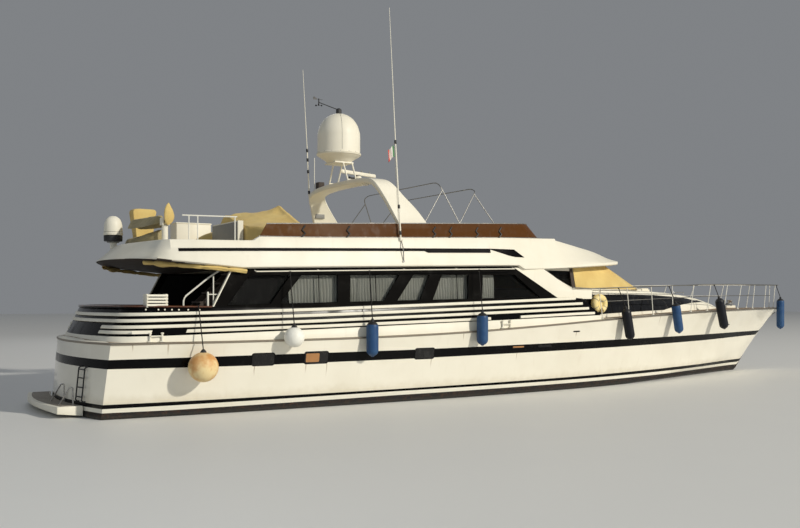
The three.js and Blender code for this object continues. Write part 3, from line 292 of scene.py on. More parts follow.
def transom_at(y):
    return TRANSOM_RAKE * deck_edge(0) - TRANSOM_BULGE * (1 - (y / TRANSOM_HALF) ** 2)


def hull_half(x, z):
    """Half breadth of the hull at a height."""
    chine_y, chine_z, edge_y, edge_z = (sample(HULL, x, c) for c in (1, 2, 3, 4))
    if z >= chine_z:
        flare = 0.16 * min(1, max(0, (x - 12) / 9))
        t = min(1, (z - chine_z) / (edge_z - chine_z))
        return chine_y + (edge_y - chine_y) * (t - flare * math.sin(math.pi * t))
    keel_z, keel_y = line(KEEL, x), min(KEEL_HALF, chine_y * 0.6)
    return keel_y + (chine_y - keel_y) * max(0, z - keel_z) / (chine_z - keel_z)


def side_half(x, z):
    return deck_half(x) - BULWARK_INSET - BULWARK_LEAN - 0.03 - 0.06 * (z - 2.45)


def rounded(points, radius, steps=4):
    """A run of points with its bends cut round."""
    points = [Vector(p) for p in points]
    run = [points[0]]
    for before, bend, after in zip(points, points[1:], points[2:]):
        reach = min(radius, (before - bend).length * 0.45, (after - bend).length * 0.45)
        a, b = bend + (before - bend).normalized() * reach, bend + (after - bend).normalized() * reach
        run += [a.lerp(bend, t).lerp(bend.lerp(b, t), t) for t in spread(0, 1, steps)]
    return run + [points[-1]]


# Shaping tools
def choose(*pieces):
    """Selects these pieces alone, with the first of them active."""
    bpy.ops.object.select_all(action="DESELECT")
    for piece in pieces:
        piece.select_set(True)
    bpy.context.view_layer.objects.active = pieces[0]


def in_edit(piece, *actions):
    """Runs edit-mode actions on one piece with everything in it selected."""
    choose(piece)
    bpy.ops.object.mode_set(mode="EDIT")
    bpy.ops.mesh.select_all(action="SELECT")
    for action in actions:
        action()
    bpy.ops.object.mode_set(mode="OBJECT")


def weld():
    bpy.ops.mesh.remove_doubles(threshold=WELD)


def capped(piece, *before):
    """Edit-mode actions run, and then each open end closed with a face."""
    in_edit(
        piece,
        *before,
        lambda: bpy.ops.mesh.select_all(action="DESELECT"),
        lambda: bpy.ops.mesh.select_non_manifold(extend=False),
        lambda: bpy.ops.mesh.edge_face_add(),
    )
    return piece


def cleaned(piece):
    """Doubles merged, and faces turned outwards."""
    in_edit(
        piece,
        weld,
        lambda: bpy.ops.mesh.dissolve_degenerate(threshold=1e-6),
        lambda: bpy.ops.mesh.normals_make_consistent(inside=False),
    )
    shape = bmesh.new()
    shape.from_mesh(piece.data)
    if shape.calc_volume(signed=True) < 0:
        bmesh.ops.reverse_faces(shape, faces=shape.faces)
        shape.to_mesh(piece.data)
    shape.free()
    return piece


def named(name):
    piece = bpy.context.object
    piece.name = piece.data.name = name
    return piece


def applied(piece, kind, **settings):
    """A modifier set and applied."""
    choose(piece)
    modifier = piece.modifiers.new(kind, kind)
    for key, value in settings.items():
        setattr(modifier, key, value)
    bpy.ops.object.modifier_apply(modifier=modifier.name)
    return piece


def bevelled(piece, width, segments=2):
    return applied(
        piece, "BEVEL", width=width, segments=segments, limit_method="ANGLE", angle_limit=EASED_ANGLE
    )


def both_sides(piece):
    """Starboard's shape given its port half, welded on the centreline."""
    return applied(piece, "MIRROR", use_axis=(False, True, False), use_clip=True, merge_threshold=1e-3)


def skin(name, rings, closed=False, ends=False, strips=None, finishes=()):
    """A grid primitive laid through rings of points. strips holds the finish's number of each strip."""
    rings = [list(ring) + ([ring[0]] if closed else []) for ring in rings]
    across, along = len(rings[0]), len(rings)
    bpy.ops.mesh.primitive_grid_add(x_subdivisions=across - 1, y_subdivisions=along - 1, size=1)
    piece = finished(named(name), *finishes)
    piece.data.vertices.foreach_set("co", [c for ring in rings for p in ring for c in p])
    if strips:
        piece.data.polygons.foreach_set("material_index", list(strips) * (along - 1))
    if ends:
        capped(piece, weld)
    return cleaned(piece) if closed or ends else piece


def plate(name, outline, axis, low, high, bevel=0.0):
    """An outline filled and drawn out along an axis, which is the one that its points leave out."""
    bpy.ops.mesh.primitive_circle_add(vertices=len(outline), fill_type="NGON")
    piece = named(name)
    for vertex, (u, v) in zip(piece.data.vertices, outline):
        vertex.co = {"x": (low, u, v), "y": (u, low, v), "z": (u, v, low)}[axis]
    draw = {"x": (high - low, 0, 0), "y": (0, high - low, 0), "z": (0, 0, high - low)}[axis]
    in_edit(piece, lambda: bpy.ops.mesh.extrude_region_move(TRANSFORM_OT_translate={"value": draw}))
    cleaned(piece)
    return bevelled(piece, bevel) if bevel else piece


def block(name, x, y, z, bevel=0.006):
    """A box between three pairs of sides, its edges eased."""
    sides = (x, y, z)
    middle = [(a + b) / 2 for a, b in sides]
    bpy.ops.mesh.primitive_cube_add(size=1, location=middle, scale=[b - a for a, b in sides])
    piece = named(name)
    bpy.ops.object.transform_apply(location=True, rotation=True, scale=True)
    return bevelled(piece, bevel) if bevel else piece


def turned(name, profile, at=(0, 0, 0), segments=40, axis=(0, 0, 1)):
    """A profile of radius and height spun round an axis through a point."""
    bpy.ops.mesh.primitive_circle_add(vertices=len(profile), fill_type="NOTHING")
    piece = named(name)
    for vertex, (radius, height) in zip(piece.data.vertices, profile):
        vertex.co = (radius, 0, height)
    in_edit(
        piece,
        lambda: bpy.ops.mesh.spin(steps=segments, angle=2 * math.pi, center=(0, 0, 0), axis=(0, 0, 1)),
        lambda: bpy.ops.mesh.select_all(action="SELECT"),
        weld,
        lambda: bpy.ops.mesh.delete_loose(use_verts=True, use_edges=True, use_faces=False),
    )
    turn = Vector((0, 0, 1)).rotation_difference(Vector(axis)).to_matrix().to_4x4()
    piece.data.transform(Matrix.Translation(at) @ turn)
    return cleaned(piece)


def tubes(name, runs, radius, sides=8, taper=None, loop=False):
    """Round tubes bent along runs of points."""
    bpy.ops.curve.primitive_nurbs_path_add()
    curve = bpy.context.object.data
    curve.splines.clear()
    curve.dimensions, curve.bevel_depth, curve.bevel_resolution = "3D", radius, max(0, sides // 4)
    curve.use_fill_caps = not loop
    for run in runs:
        spline = curve.splines.new("POLY")
        spline.points.add(len(run) - 1)
        spline.use_cyclic_u = loop
        for i, (point, place) in enumerate(zip(spline.points, run)):
            point.co = (*place, 1)
            point.radius = 1 if taper is None else 1 + (taper - 1) * i / (len(run) - 1)
    bpy.ops.object.convert(target="MESH")
    return cleaned(named(name))


def rods(name, bars, radius, sides=8):
    return tubes(name, [[Vector(a), Vector(b)] for a, b in bars], radius, sides)


def joined(name, *pieces):
    choose(*pieces)
    bpy.ops.object.join()
    return named(name)


def copied(piece, name, turn):
    """A copy with its own mesh, turned about the origin."""
    copy = piece.copy()
    copy.data = piece.data.copy()
    bpy.context.scene.collection.objects.link(copy)
    copy.name = copy.data.name = name
    copy.data.transform(turn)
    return copy


def mirrored(piece, name):
    copy = copied(piece, name, turn=Matrix.Scale(-1, 4, (0, 1, 0)))
    in_edit(copy, lambda: bpy.ops.mesh.flip_normals())
    return copy


def cut_by(piece, *tools):
    """The tools' shapes taken out of a piece, and the tools taken away."""
    for tool in tools:
        applied(piece, "BOOLEAN", operation="DIFFERENCE", object=tool, solver="EXACT")
        bpy.data.objects.remove(tool)
    return piece


def finished(piece, *finishes):
    """Finishes put on a piece that has none yet."""
    for finish in finishes:
        piece.data.materials.append(finish)
    return piece


def fit(piece, slot, *finishes, body="yacht", stands_for=(), smooth=35):
    """A finished piece set on the frame, riding on its body."""
    finished(piece, *finishes)
    piece.data.transform(Matrix.Translation((-MIDSHIPS, 0, 0)))
    choose(piece)
    if smooth:
        bpy.ops.object.shade_smooth_by_angle(angle=math.radians(smooth))
    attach(piece, body)
    if stands_for:
        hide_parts(*([stands_for] if isinstance(stands_for, str) else stands_for))
    return piece


def both(piece, name, slot, finish):
    """A starboard piece and its port twin as one piece."""
    return fit(joined(name, piece, mirrored(piece, "port_" + name)), slot, finish)


# Finishing tools
class Value:
    """The output of a node. Python's operators on it add Math nodes."""

    def __init__(self, finish, socket):
        self.finish, self.socket = finish, socket

    def math(self, operation, *others, first=None):
        return self.finish.node(
            "Math", {"operation": operation}, *((self,) if first is None else (first, self)), *others
        )

    def __add__(self, other):
        return self.math("ADD", other)

    def __sub__(self, other):
        return self.math("SUBTRACT", other)

    def __rsub__(self, other):
        return self.math("SUBTRACT", first=other)

    def __mul__(self, other):
        return self.math("MULTIPLY", other)

    def __truediv__(self, other):
        return self.math("DIVIDE", other)

    __radd__ = __add__
    __rmul__ = __mul__

    def above(self, edge):
        return self.math("GREATER_THAN", edge)

    def below(self, edge):
        return self.math("LESS_THAN", edge)

    def size(self):
        return self.math("ABSOLUTE")

    def wave(self):
        return self.math("SINE")

    def rest(self, length):
        return self.math("WRAP", 0.0, length)

    def rise(self, start, end):
        """0 before start, 1 after end, smooth between them."""
        return self.finish.node(
            "MapRange", {"interpolation_type": "SMOOTHSTEP"}, self, float(start), float(end), 0.0, 1.0
        )


class Finish:
    """A procedural material while its nodes are laid."""

    def __init__(self, name, roughness=0.5, metallic=0.0, coat=0.0, alpha=1.0, sheen=0.0):
        self.material = bpy.data.materials.new(name)
        self.material.use_nodes = True
        self.tree = self.material.node_tree
        self.shader = self.tree.nodes["Principled BSDF"].inputs
        for socket, value in (
            ("Roughness", roughness), ("Metallic", metallic), ("Coat Weight", coat), ("Alpha", alpha),
            ("Sheen Weight", sheen), ("Coat Roughness", 0.06)
        ):
            self.shader[socket].default_value = value
        self.place = self.node("TexCoord", output="Object")
        split = self.node("SeparateXYZ", None, self.place).socket.node
        self.x, self.y, self.z = (Value(self, split.outputs[i]) for i in range(3))

    def node(self, kind, settings=None, *inputs, output=0, **links):
        """A node of any type: its settings, a ramp's stops among them, then its sockets' values or links."""
        made = self.tree.nodes.new("ShaderNode" + kind)
        for key, value in (settings or {}).items():
            if key == "stops":
                for i, (at, colour) in enumerate(value):
                    stop = made.color_ramp.elements[i] if i < 2 else made.color_ramp.elements.new(at)
                    stop.position, stop.color = at, (*colour, 1)
            else:
                setattr(made, key, value)
        for socket, value in [
            *zip(made.inputs, inputs), *((made.inputs[k.replace("_", " ")], v) for k, v in links.items())
        ]:
            if isinstance(value, Value):
                self.tree.links.new(value.socket, socket)
            elif value is not None:
                socket.default_value = value
        return Value(self, made.outputs[output])

    def spots(self, scale, detail=3.0, stretch=(1, 1, 1), turn=(0, 0, 0)):
        """Noise on the piece, from 0 to 1."""
        place = self.node("Mapping", None, self.place, None, turn, stretch)
        return self.node("TexNoise", None, place, Scale=scale, Detail=detail)

    def mixed(self, share, first, second):
        """Two colours mixed."""
        mixer = self.tree.nodes.new("ShaderNodeMix")
        mixer.data_type = "RGBA"
        for number, value in ((0, share), (6, first), (7, second)):
            if isinstance(value, Value):
                self.tree.links.new(value.socket, mixer.inputs[number])
            else:
                mixer.inputs[number].default_value = value if number == 0 else (*value, 1)
        return Value(self, mixer.outputs[2])

    def set(self, **values):
        for key, value in values.items():
            socket = self.shader[key.replace("_", " ")]
            if isinstance(value, Value):
                self.tree.links.new(value.socket, socket)
            else:
                socket.default_value = value

    def bumped(self, height, distance, strength=1.0):
        self.set(Normal=self.node("Bump", None, Strength=strength, Distance=distance, Height=height))


def gelcoat(name, colour=(0.86, 0.82, 0.7), roughness=0.4, dirt=0.5, streaks=True):
    """Moulded gelcoat: a warm white, chalky in patches, with faint streaks running down."""
    finish = Finish(name, coat=0.1)
    finish.set(Coat_Roughness=0.35, Specular_IOR_Level=0.18)
    chalk = finish.spots(1.3, 4.0)
    runs = finish.spots(3.0, 3.0, stretch=(2.2, 2.2, 0.18)).rise(0.56, 0.8)
    fine = finish.spots(160.0, 2.0)
    tone = finish.mixed(
        chalk.rise(0.35, 0.75), colour, tuple(c * k for c, k in zip(colour, (0.955, 0.95, 0.93)))
    )
    if streaks:
        tone = finish.mixed(runs * (0.16 * dirt), tone, (0.42, 0.33, 0.2))
    finish.set(Base_Color=tone, Roughness=chalk * 0.12 + roughness)
    finish.bumped(fine + chalk * 2.0, 0.0004, 0.5)
    return finish.material


def gloss_black(name, colour=(0.003, 0.003, 0.0035), roughness=0.2, dust=0.3):
    """Black gelcoat, faded and dusty in patches."""
    finish = Finish(name, coat=0.0)
    bloom = finish.spots(2.4, 4.0).rise(0.45, 0.85)
    scuffs = finish.spots(22.0, 3.0, stretch=(0.25, 1, 2.5)).rise(0.6, 0.85)
    finish.set(
        Base_Color=finish.mixed(bloom * 0.35 * dust + scuffs * 0.1, colour, (0.03, 0.028, 0.025)),
        Roughness=bloom * 0.2 + scuffs * 0.12 + roughness,
        Specular_IOR_Level=0.08,
    )
    finish.bumped(finish.spots(90.0, 2.0), 0.0003, 0.4)
    return finish.material


def antifouling():
    """Dark bottom paint, browned with rust and growth near the water."""
    finish = Finish("antifouling", roughness=0.75)
    growth, rust = finish.spots(5.0, 5.0, stretch=(1, 1, 2.5)), finish.spots(14.0, 4.0).rise(0.5, 0.75)
    wet = 1 - (finish.z + finish.spots(7.0, 3.0) * 0.06).rise(0.03, 0.14)
    tone = finish.mixed(growth.rise(0.4, 0.7), (0.008, 0.007, 0.007), (0.03, 0.016, 0.01))
    tone = finish.mixed(rust * 0.35, tone, (0.1, 0.04, 0.016))
    finish.set(Base_Color=finish.mixed(wet * 0.7, tone, (0.01, 0.012, 0.008)), Roughness=0.8 - wet * 0.5)
    finish.bumped(growth + rust, 0.004)
    return finish.material


def topside_gelcoat():
    """The hull's own gelcoat: streaks below the drains and windows, and a grimy line above the boot top."""
    finish = Finish("topside gelcoat", coat=0.6)
    chalk = finish.spots(0.9, 4.0)
    wobble = finish.spots(5.0, 3.0)
    tone = finish.mixed(chalk.rise(0.35, 0.75), (0.87, 0.83, 0.71), (0.82, 0.775, 0.65))
    grime = 1 - (finish.z + wobble * 0.25).rise(0.38, 0.72)
    tone = finish.mixed(grime * 0.35, tone, (0.45, 0.36, 0.2))
    marks = 0.0
    for x, head, length, width in STREAKS:
        across = 1 - (finish.x + wobble * 0.03 - (x - MIDSHIPS + 0.015)).size().rise(width * 0.3, width)
        down = finish.z.rise(head - length, head) * finish.z.below(head)
        marks = across * down + marks
    haze = finish.spots(2.6, 4.0, stretch=(2.5, 2.5, 0.16)).rise(0.58, 0.85)
    tone = finish.mixed(haze * 0.12, tone, (0.5, 0.4, 0.24))
    tone = finish.mixed(marks.rise(0, 1) * 0.55, tone, (0.3, 0.2, 0.1))
    finish.set(Base_Color=tone, Roughness=chalk * 0.1 + 0.16)
    finish.bumped(finish.spots(0.8, 2.0, stretch=(1, 1, 1.6)), 0.004, 0.35)
    return finish.material


def dark_glass(name, alpha, colour=(0.012, 0.012, 0.011), roughness=0.04, gloss=0.3):
    """Tinted window glass with a little dried salt on it."""
    finish = Finish(name, coat=0.0, alpha=alpha)
    salt = finish.spots(9.0, 5.0, stretch=(1, 1, 0.5)).rise(0.5, 0.8)
    finish.set(
        Base_Color=finish.mixed(salt * 0.06, colour, (0.3, 0.3, 0.28)),
        Roughness=salt * 0.14 + roughness,
        Specular_IOR_Level=gloss,
    )
    return finish.material


def canvas(name, colour, shade, weave=240.0, sheen=0.25, stain=(0.34, 0.25, 0.12)):
    """Acrylic canvas: a plain weave, sun-bleached on top, with damp stains."""
    finish = Finish(name, roughness=0.88, sheen=sheen)
    warp, weft = (finish.x * weave * TURN).wave(), ((finish.y + finish.z) * weave * TURN).wave()
    cloth = warp * weft
    bleached, damp = finish.spots(1.6, 4.0), finish.spots(3.2, 4.0).rise(0.55, 0.8)
    tone = finish.mixed(bleached.rise(0.35, 0.7), shade, colour)
    tone = finish.mixed(damp * 0.3, tone, stain)
    tone = finish.mixed(finish.spots(60.0, 2.0) * 0.25, tone, tuple(c * 1.25 for c in colour))
    finish.set(Base_Color=tone)
    finish.bumped(cloth * 0.3 + finish.spots(14.0, 4.0) * 3.0, 0.003, 0.6)
    return finish.material


def steel(name, colour=(0.72, 0.71, 0.68), roughness=0.16):
    """Polished tube with tea stains and fine scratches."""
    finish = Finish(name, metallic=1.0)
    tea, fine = finish.spots(8.0, 4.0).rise(0.55, 0.8), finish.spots(120.0, 3.0, stretch=(1, 1, 0.2))
    finish.set(
        Base_Color=finish.mixed(tea * 0.35, colour, (0.42, 0.32, 0.2)),
        Roughness=fine * 0.12 + tea * 0.15 + roughness,
    )
    finish.bumped(fine, 0.0002, 0.4)
    return finish.material


def bronze():
    finish = Finish("weathered bronze", metallic=0.85)
    green, fine = finish.spots(9.0, 4.0).rise(0.45, 0.75), finish.spots(70.0, 3.0)
    finish.set(
        Base_Color=finish.mixed(green * 0.6, (0.5, 0.29, 0.1), (0.12, 0.17, 0.1)),
        Roughness=green * 0.3 + 0.32
    )
    finish.bumped(fine + green, 0.0008, 0.6)
    return finish.material


def plastic(name, colour, roughness=0.5, faded=(0.2, 0.2, 0.2)):
    """Moulded plastic or rubber, greyed by the sun."""
    finish = Finish(name)
    grey, grain = finish.spots(5.0, 4.0).rise(0.4, 0.8), finish.spots(220.0, 2.0)
    finish.set(Base_Color=finish.mixed(grey * 0.35, colour, faded), Roughness=grey * 0.15 + roughness)
    finish.bumped(grain + grey, 0.0005, 0.5)
    return finish.material


def teak(name, width=0.055, caulk=0.005, colour=(0.36, 0.235, 0.13)):
    """Bare teak planks with black caulk between them, silvered in places."""
    finish = Finish(name, roughness=0.7)
    seam = finish.y.rest(width).below(caulk)
    grain, tone = finish.spots(6.0, 5.0, stretch=(1.5, 20, 20)), finish.spots(1.4, 3.0)
    plank = finish.node("TexWhiteNoise", {"noise_dimensions": "1D"}, None, (finish.y / width).math("FLOOR"))
    wood = finish.mixed(grain.rise(0.3, 0.7), tuple(c * 0.7 for c in colour), colour)
    wood = finish.mixed(plank * 0.25 + tone.rise(0.4, 0.75) * 0.35, wood, (0.42, 0.36, 0.28))
    finish.set(Base_Color=finish.mixed(seam, wood, (0.02, 0.018, 0.016)))
    finish.bumped(grain * 0.5 - seam * 2.0, 0.0012, 0.7)
    return finish.material


def varnished(name, colour=(0.15, 0.05, 0.02)):
    """Varnished mahogany, as on the capping and inside."""
    finish = Finish(name, coat=0.8)
    grain = finish.spots(5.0, 5.0, stretch=(1.2, 14, 14))
    finish.set(
        Base_Color=finish.mixed(grain.rise(0.3, 0.7), tuple(c * 0.45 for c in colour), colour),
        Roughness=grain * 0.15 + 0.25
    )
    finish.bumped(grain, 0.0006, 0.5)
    return finish.material


def fender_skin(name, colour, worn, blotch=0.3, streak=(0.1, 0.08, 0.05), patches=5.0):
    """Soft vinyl, scuffed and blotched."""
    finish = Finish(name)
    finish.set(Specular_IOR_Level=0.3)
    blotches = finish.spots(patches, 4.0).rise(0.4, 0.65)
    scuffs = finish.spots(26.0, 4.0, stretch=(1, 1, 0.3)).rise(0.55, 0.8)
    tone = finish.mixed(blotches * blotch, colour, worn)
    finish.set(Base_Color=finish.mixed(scuffs * 0.3, tone, streak), Roughness=blotches * 0.15 + 0.42)
    finish.bumped(blotches + scuffs, 0.002, 0.4)
    return finish.material


def lacework(name, colour, twist=120.0):
    """Laid rope: strands run round it, with painted shade in the grooves between them and fibre fuzz."""
    finish = Finish(name, roughness=0.9)
    strands = ((finish.z + finish.x * 0.7 + finish.y * 0.7) * twist * TURN).wave()
    # darker in the strand wave's troughs: painted shade in the grooves, mixed with random fuzz
    groove_shade_and_fuzz = strands.rise(-1, 1) * 0.6 + finish.spots(40.0) * 0.4
    finish.set(Base_Color=finish.mixed(groove_shade_and_fuzz, tuple(c * 0.45 for c in colour), colour))
    finish.bumped(strands, 0.002)
    return finish.material


# columns: x of each streak down the topsides, height of its head, length, half width
STREAKS = [
    (0.62, 1.64, 0.22, 0.022), (1.38, 1.63, 0.34, 0.026), (3.4, 1.09, 0.35, 0.02), (4.7, 1.07, 0.28, 0.02),
    (5.25, 1.08, 0.45, 0.016), (8.25, 1.1, 0.35, 0.018), (11.1, 1.16, 0.3, 0.018), (13.3, 1.68, 0.2, 0.03),
    (15.6, 2.0, 0.5, 0.02), (17.2, 2.1, 0.4, 0.018), (20.6, 2.18, 0.35, 0.02), (9.2, 1.72, 0.25, 0.02),
]
WHITE = gelcoat("cream gelcoat")
COOL_WHITE = gelcoat("deck gelcoat", (0.8, 0.77, 0.67), 0.4, 0.8)
TOPSIDE = topside_gelcoat()
BLACK = gloss_black("black gelcoat")
STRIPE_BLACK = gloss_black("stripe black", roughness=0.55)
CABIN_BLACK = gloss_black("cabin black", (0.005, 0.0045, 0.004), 0.18, 0.3)
BOTTOM = antifouling()
GLASS = dark_glass("saloon glass", 0.3, (0.006, 0.006, 0.005))
DARK_GLASS = dark_glass("blind glass", 1.0, (0.005, 0.005, 0.006), 0.05)
SCREEN = dark_glass("brown screen", 0.86, (0.11, 0.045, 0.015), 0.14, 0.03)
BLIND = plastic("drawn blind", (0.42, 0.2, 0.07), 0.7, (0.3, 0.16, 0.08))
CANVAS = canvas("tan canvas", (0.72, 0.54, 0.2), (0.62, 0.44, 0.15), sheen=0.08, stain=(0.42, 0.3, 0.12))
# the tan canvas again in darker tones: painted shade for the cover sides that face away from the light
SHADED_TAN_CANVAS = canvas("tan canvas in painted shade", (0.44, 0.37, 0.2), (0.3, 0.25, 0.13), sheen=0.1)
CURTAIN = canvas("curtain cloth", (0.78, 0.8, 0.72), (0.6, 0.62, 0.55), 400.0)
UPHOLSTERY = canvas("cockpit upholstery", (0.7, 0.66, 0.56), (0.6, 0.56, 0.46), 300.0)
STEEL = steel("polished tube", (0.5, 0.49, 0.47), 0.2)
PAINTED_TUBE = gelcoat("painted tube", (0.8, 0.78, 0.7), 0.3, 0.3, False)
TUBE = steel("weathered tube", (0.24, 0.235, 0.22), 0.42)
ALUMINIUM = steel("aged moulding", (0.34, 0.3, 0.25), 0.4)
BRONZE = bronze()
RUBBER = plastic("black fitting", (0.014, 0.014, 0.015), 0.45, (0.07, 0.07, 0.07))
# grey plastic for fittings, also used for the painted shade on the cabinet's aft face
GREY = plastic("grey fitting and painted shade", (0.22, 0.22, 0.21), 0.5, (0.35, 0.34, 0.32))
# dark plastic for trim, also laid on the flybridge's aft underside as painted shade
DARK_TRIM_AND_SHADE = plastic("dark trim and painted shade", (0.042, 0.028, 0.02), 0.7, (0.06, 0.045, 0.035))
# a near-black sheet that stands for the shade inside the wings
SHADE_SHEET = plastic("painted shade sheet", (0.006, 0.006, 0.006), 0.8, (0.012, 0.011, 0.01))
CARPET = canvas("saloon carpet", (0.16, 0.12, 0.09), (0.1, 0.075, 0.055), 120.0)
TEAK_DECK = teak("teak deck")
TEAK_SLAT = teak("platform slats", 0.075, 0.012, (0.3, 0.27, 0.23))
MAHOGANY = varnished("varnished mahogany")
BLUE = fender_skin("blue fender", (0.02, 0.068, 0.18), (0.05, 0.12, 0.22), streak=(0.04, 0.05, 0.06))
NAVY = fender_skin("navy fender", (0.003, 0.004, 0.009), (0.01, 0.012, 0.02), streak=(0.014, 0.013, 0.012))
ORANGE = fender_skin("orange fender", (0.66, 0.33, 0.11), (0.86, 0.68, 0.36), 1.0, (0.6, 0.28, 0.08), 2.6)
BALL_WHITE = fender_skin("white fender", (0.9, 0.89, 0.82), (0.8, 0.78, 0.7), 0.5, (0.6, 0.57, 0.5))
YELLOW = fender_skin("buoy yellow", (0.88, 0.7, 0.3), (0.92, 0.8, 0.5))
ROPE = lacework("dark rope", (0.022, 0.02, 0.018))
PALE_ROPE = lacework("pale rope", (0.6, 0.55, 0.42))
LAMP = plastic("lamp lens", (0.8, 0.8, 0.76), 0.2, (0.7, 0.7, 0.68))


# Stage: camera, soft lights and a pale floor at the waterline
def set_stage():
    turn = (math.radians(90), 0, math.radians(CAMERA_TURN))
    bpy.ops.object.camera_add(location=(CAMERA[0] - MIDSHIPS, *CAMERA[1:]), rotation=turn)
    camera = bpy.context.object
    camera.data.lens = SENSOR_WIDTH * FOCAL_PIXELS / FRAME_WIDTH
    camera.data.shift_y = HORIZON_PIXELS / FRAME_WIDTH
    camera.data.clip_end = VIEW_LIMIT
    bpy.context.scene.camera = camera
    lights = (
        ("key", (56, -116, 66), 5, 178000, (1.0, 0.95, 0.84)),
        ("fill", (-26, -20, 12), 18, 600, (0.66, 0.82, 1.0)),
        ("back", (4, 34, 24), 20, 1100, (0.95, 0.97, 1.0)),
    )
    for name, place, size, power, colour in lights:
        bpy.ops.object.light_add(type="AREA", location=place)
        light = bpy.context.object
        light.name, light.data.size, light.data.energy, light.data.color = name, size, power, colour
        light.rotation_euler = (Vector((0, 0, 2)) - Vector(place)).to_track_quat("-Z", "Y").to_euler()
    world = bpy.data.worlds.new("studio")
    bpy.context.scene.world = world
    world.use_nodes = True
    air = world.node_tree.nodes["Background"].inputs
    air["Color"].default_value = (0.86, 0.9, 0.95, 1)
    air["Strength"].default_value = 0.25
    bpy.ops.mesh.primitive_plane_add(size=300, location=(0, 0, 0))
    floor = named("floor")
    pale = Finish("studio floor", roughness=0.55)
    pale.set(Base_Color=pale.mixed(pale.spots(0.6, 2.0) * 0.4, (0.74, 0.74, 0.72), (0.7, 0.7, 0.69)))
    finished(floor, pale.material)
    bpy.context.scene.view_settings.view_transform = "Standard"


# Hull: bottom, boot top, topsides, band and deck in one skin
BOTTOM_PAINT, STRIPE_PAINT, BAND_PAINT, SIDE_PAINT, DECK_PAINT, WATERWAY_PAINT = range(6)


def hull_heights(x):
    """Heights of the rows up one side of the hull at x, with the material of the strip above each."""
    keel_z, chine_z, edge_z = line(KEEL, x), sample(HULL, x, 2), deck_edge(x)
    low, foot, head = (line(BOOT_TOP, x, c) for c in (1, 2, 3))
    band_foot, band_head = line(BAND, x, 1), line(BAND, x, 2)
    chine = min(chine_z, low - 0.03)
    rows = [(keel_z + (chine - keel_z) * t, BOTTOM_PAINT) for t in (0, 0.25, 0.5, 0.75)]
    rows += [(chine, BOTTOM_PAINT), (chine + (low - chine) * 0.5, BOTTOM_PAINT)]
    rows += [(low, STRIPE_PAINT), (foot, BAND_PAINT)]
    rows += [(head + (band_foot - head) * t, SIDE_PAINT) for t in (0, 0.17, 0.33, 0.5, 0.67, 0.83)]
    rows += [(band_foot, BAND_PAINT)]
    rows += [(band_head + (edge_z - band_head) * t, SIDE_PAINT) for t in (0, 0.25, 0.5, 0.75)]
    return [(max(z, keel_z), paint) for z, paint in rows] + [(edge_z, WATERWAY_PAINT)]


def hull_ring(x, share=1.0, aft=None):
    rows = hull_heights(x)
    edge_y, edge_z = deck_half(x), deck_edge(x)
    half = [(0.0, rows[0][0])] + [(hull_half(x, z), z) for z, _ in rows]
    half += [
        (edge_y * s, edge_z + DECK_CAMBER * (1 - s * s) * edge_y / TRANSOM_HALF)
        for s in (0.95, 0.75, 0.5, 0.25, 0)
    ]

    def station(z):
        if aft is not None:
            return TRANSOM_RAKE * z - aft
        return x + TRANSOM_RAKE * z * max(0, 1 - x / 1.5)

    return [(station(z), -share * y, z) for y, z in half]


TRANSOM_FINE = [(share, sample(TRANSOM, share, 1)) for share in spread(0, 1, 32)]


def hull():
    aft = [hull_ring(0, share, line(TRANSOM_FINE, share)) for share in spread(0, 1, 16)]
    along = [hull_ring(x) for x in spread(0, 26.3, 120)[1:]]
    strips = [BOTTOM_PAINT] + [paint for _, paint in hull_heights(0)] + [DECK_PAINT] * 4
    finishes = (BOTTOM, COOL_WHITE, BLACK, TOPSIDE, TEAK_DECK, WHITE)
    shell = cleaned(both_sides(skin("hull_shell", aft + along, strips=strips, finishes=finishes)))
    for face in shell.data.polygons:
        if face.material_index == DECK_PAINT and face.center.x < transom_at(face.center.y) + STERN_SET:
            face.material_index = WATERWAY_PAINT
    well = finished(block("well", *SALOON_WELL, 0), CARPET)
    fit(cut_by(shell, well), "gelcoat", stands_for="hull", smooth=24)


def moulding():
    """The rubbing moulding along the deck edge, and the bright band down the stem."""
    profile = [(-0.02, -0.05), (0.006, -0.046), (0.024, -0.03), (0.026, -0.012), (0.008, 0.0), (-0.02, 0.004)]
    stern = [(line(TRANSOM_FINE, s), s) for s in spread(0, 1, 12)]
    rings = [
        [
            (TRANSOM_RAKE * 1.675 - back - out * 0.9, -s * 2.76 - out * (0.15 + 0.6 * s ** 6), 1.675 + z)
            for out, z in profile
        ]
        for back, s in stern
    ]
    rings += [
        [(x, -deck_half(x) - out, deck_edge(x) + z) for out, z in profile] for x in spread(0.2, 26.2, 100)
    ]
    strip = both_sides(skin("deck_moulding", rings, closed=True))
    fit(cleaned(strip), "dark", ALUMINIUM)
    stem = [
        [
            (x + 0.012 * out, y, z + 0.004)
            for out, y in ((-1, -0.062), (1, -0.05), (1.4, 0), (1, 0.05), (-1, 0.062))
        ]
        for x, z in [(x, line(KEEL, x)) for x in spread(23.7, 26.0, 12)]
    ]
    fit(skin("stem_band", stem, closed=True, ends=True), "steel", STEEL)


# Bulwark: a black wall round the stern and along the sides, with four white battens on it
def plan(half_at, end_at, radius, front, end, side_steps=36):
    """Starboard half of a U in plan: along the side, round the corner and to the middle."""
    centre = front
    for _ in range(6):
        centre = end_at(half_at(centre) - radius) - end * radius
    half = half_at(centre)
    side = [(x, -half_at(x)) for x in spread(front, centre, side_steps)]
    corner = [(centre + end * radius * math.sin(a), -(half - radius) - radius * math.cos(a))
              for a in spread(0, math.pi / 2, 14)[1:-1]]
    return side + corner + [(end_at(y), y) for y in spread(-(half - radius), 0, 12)]


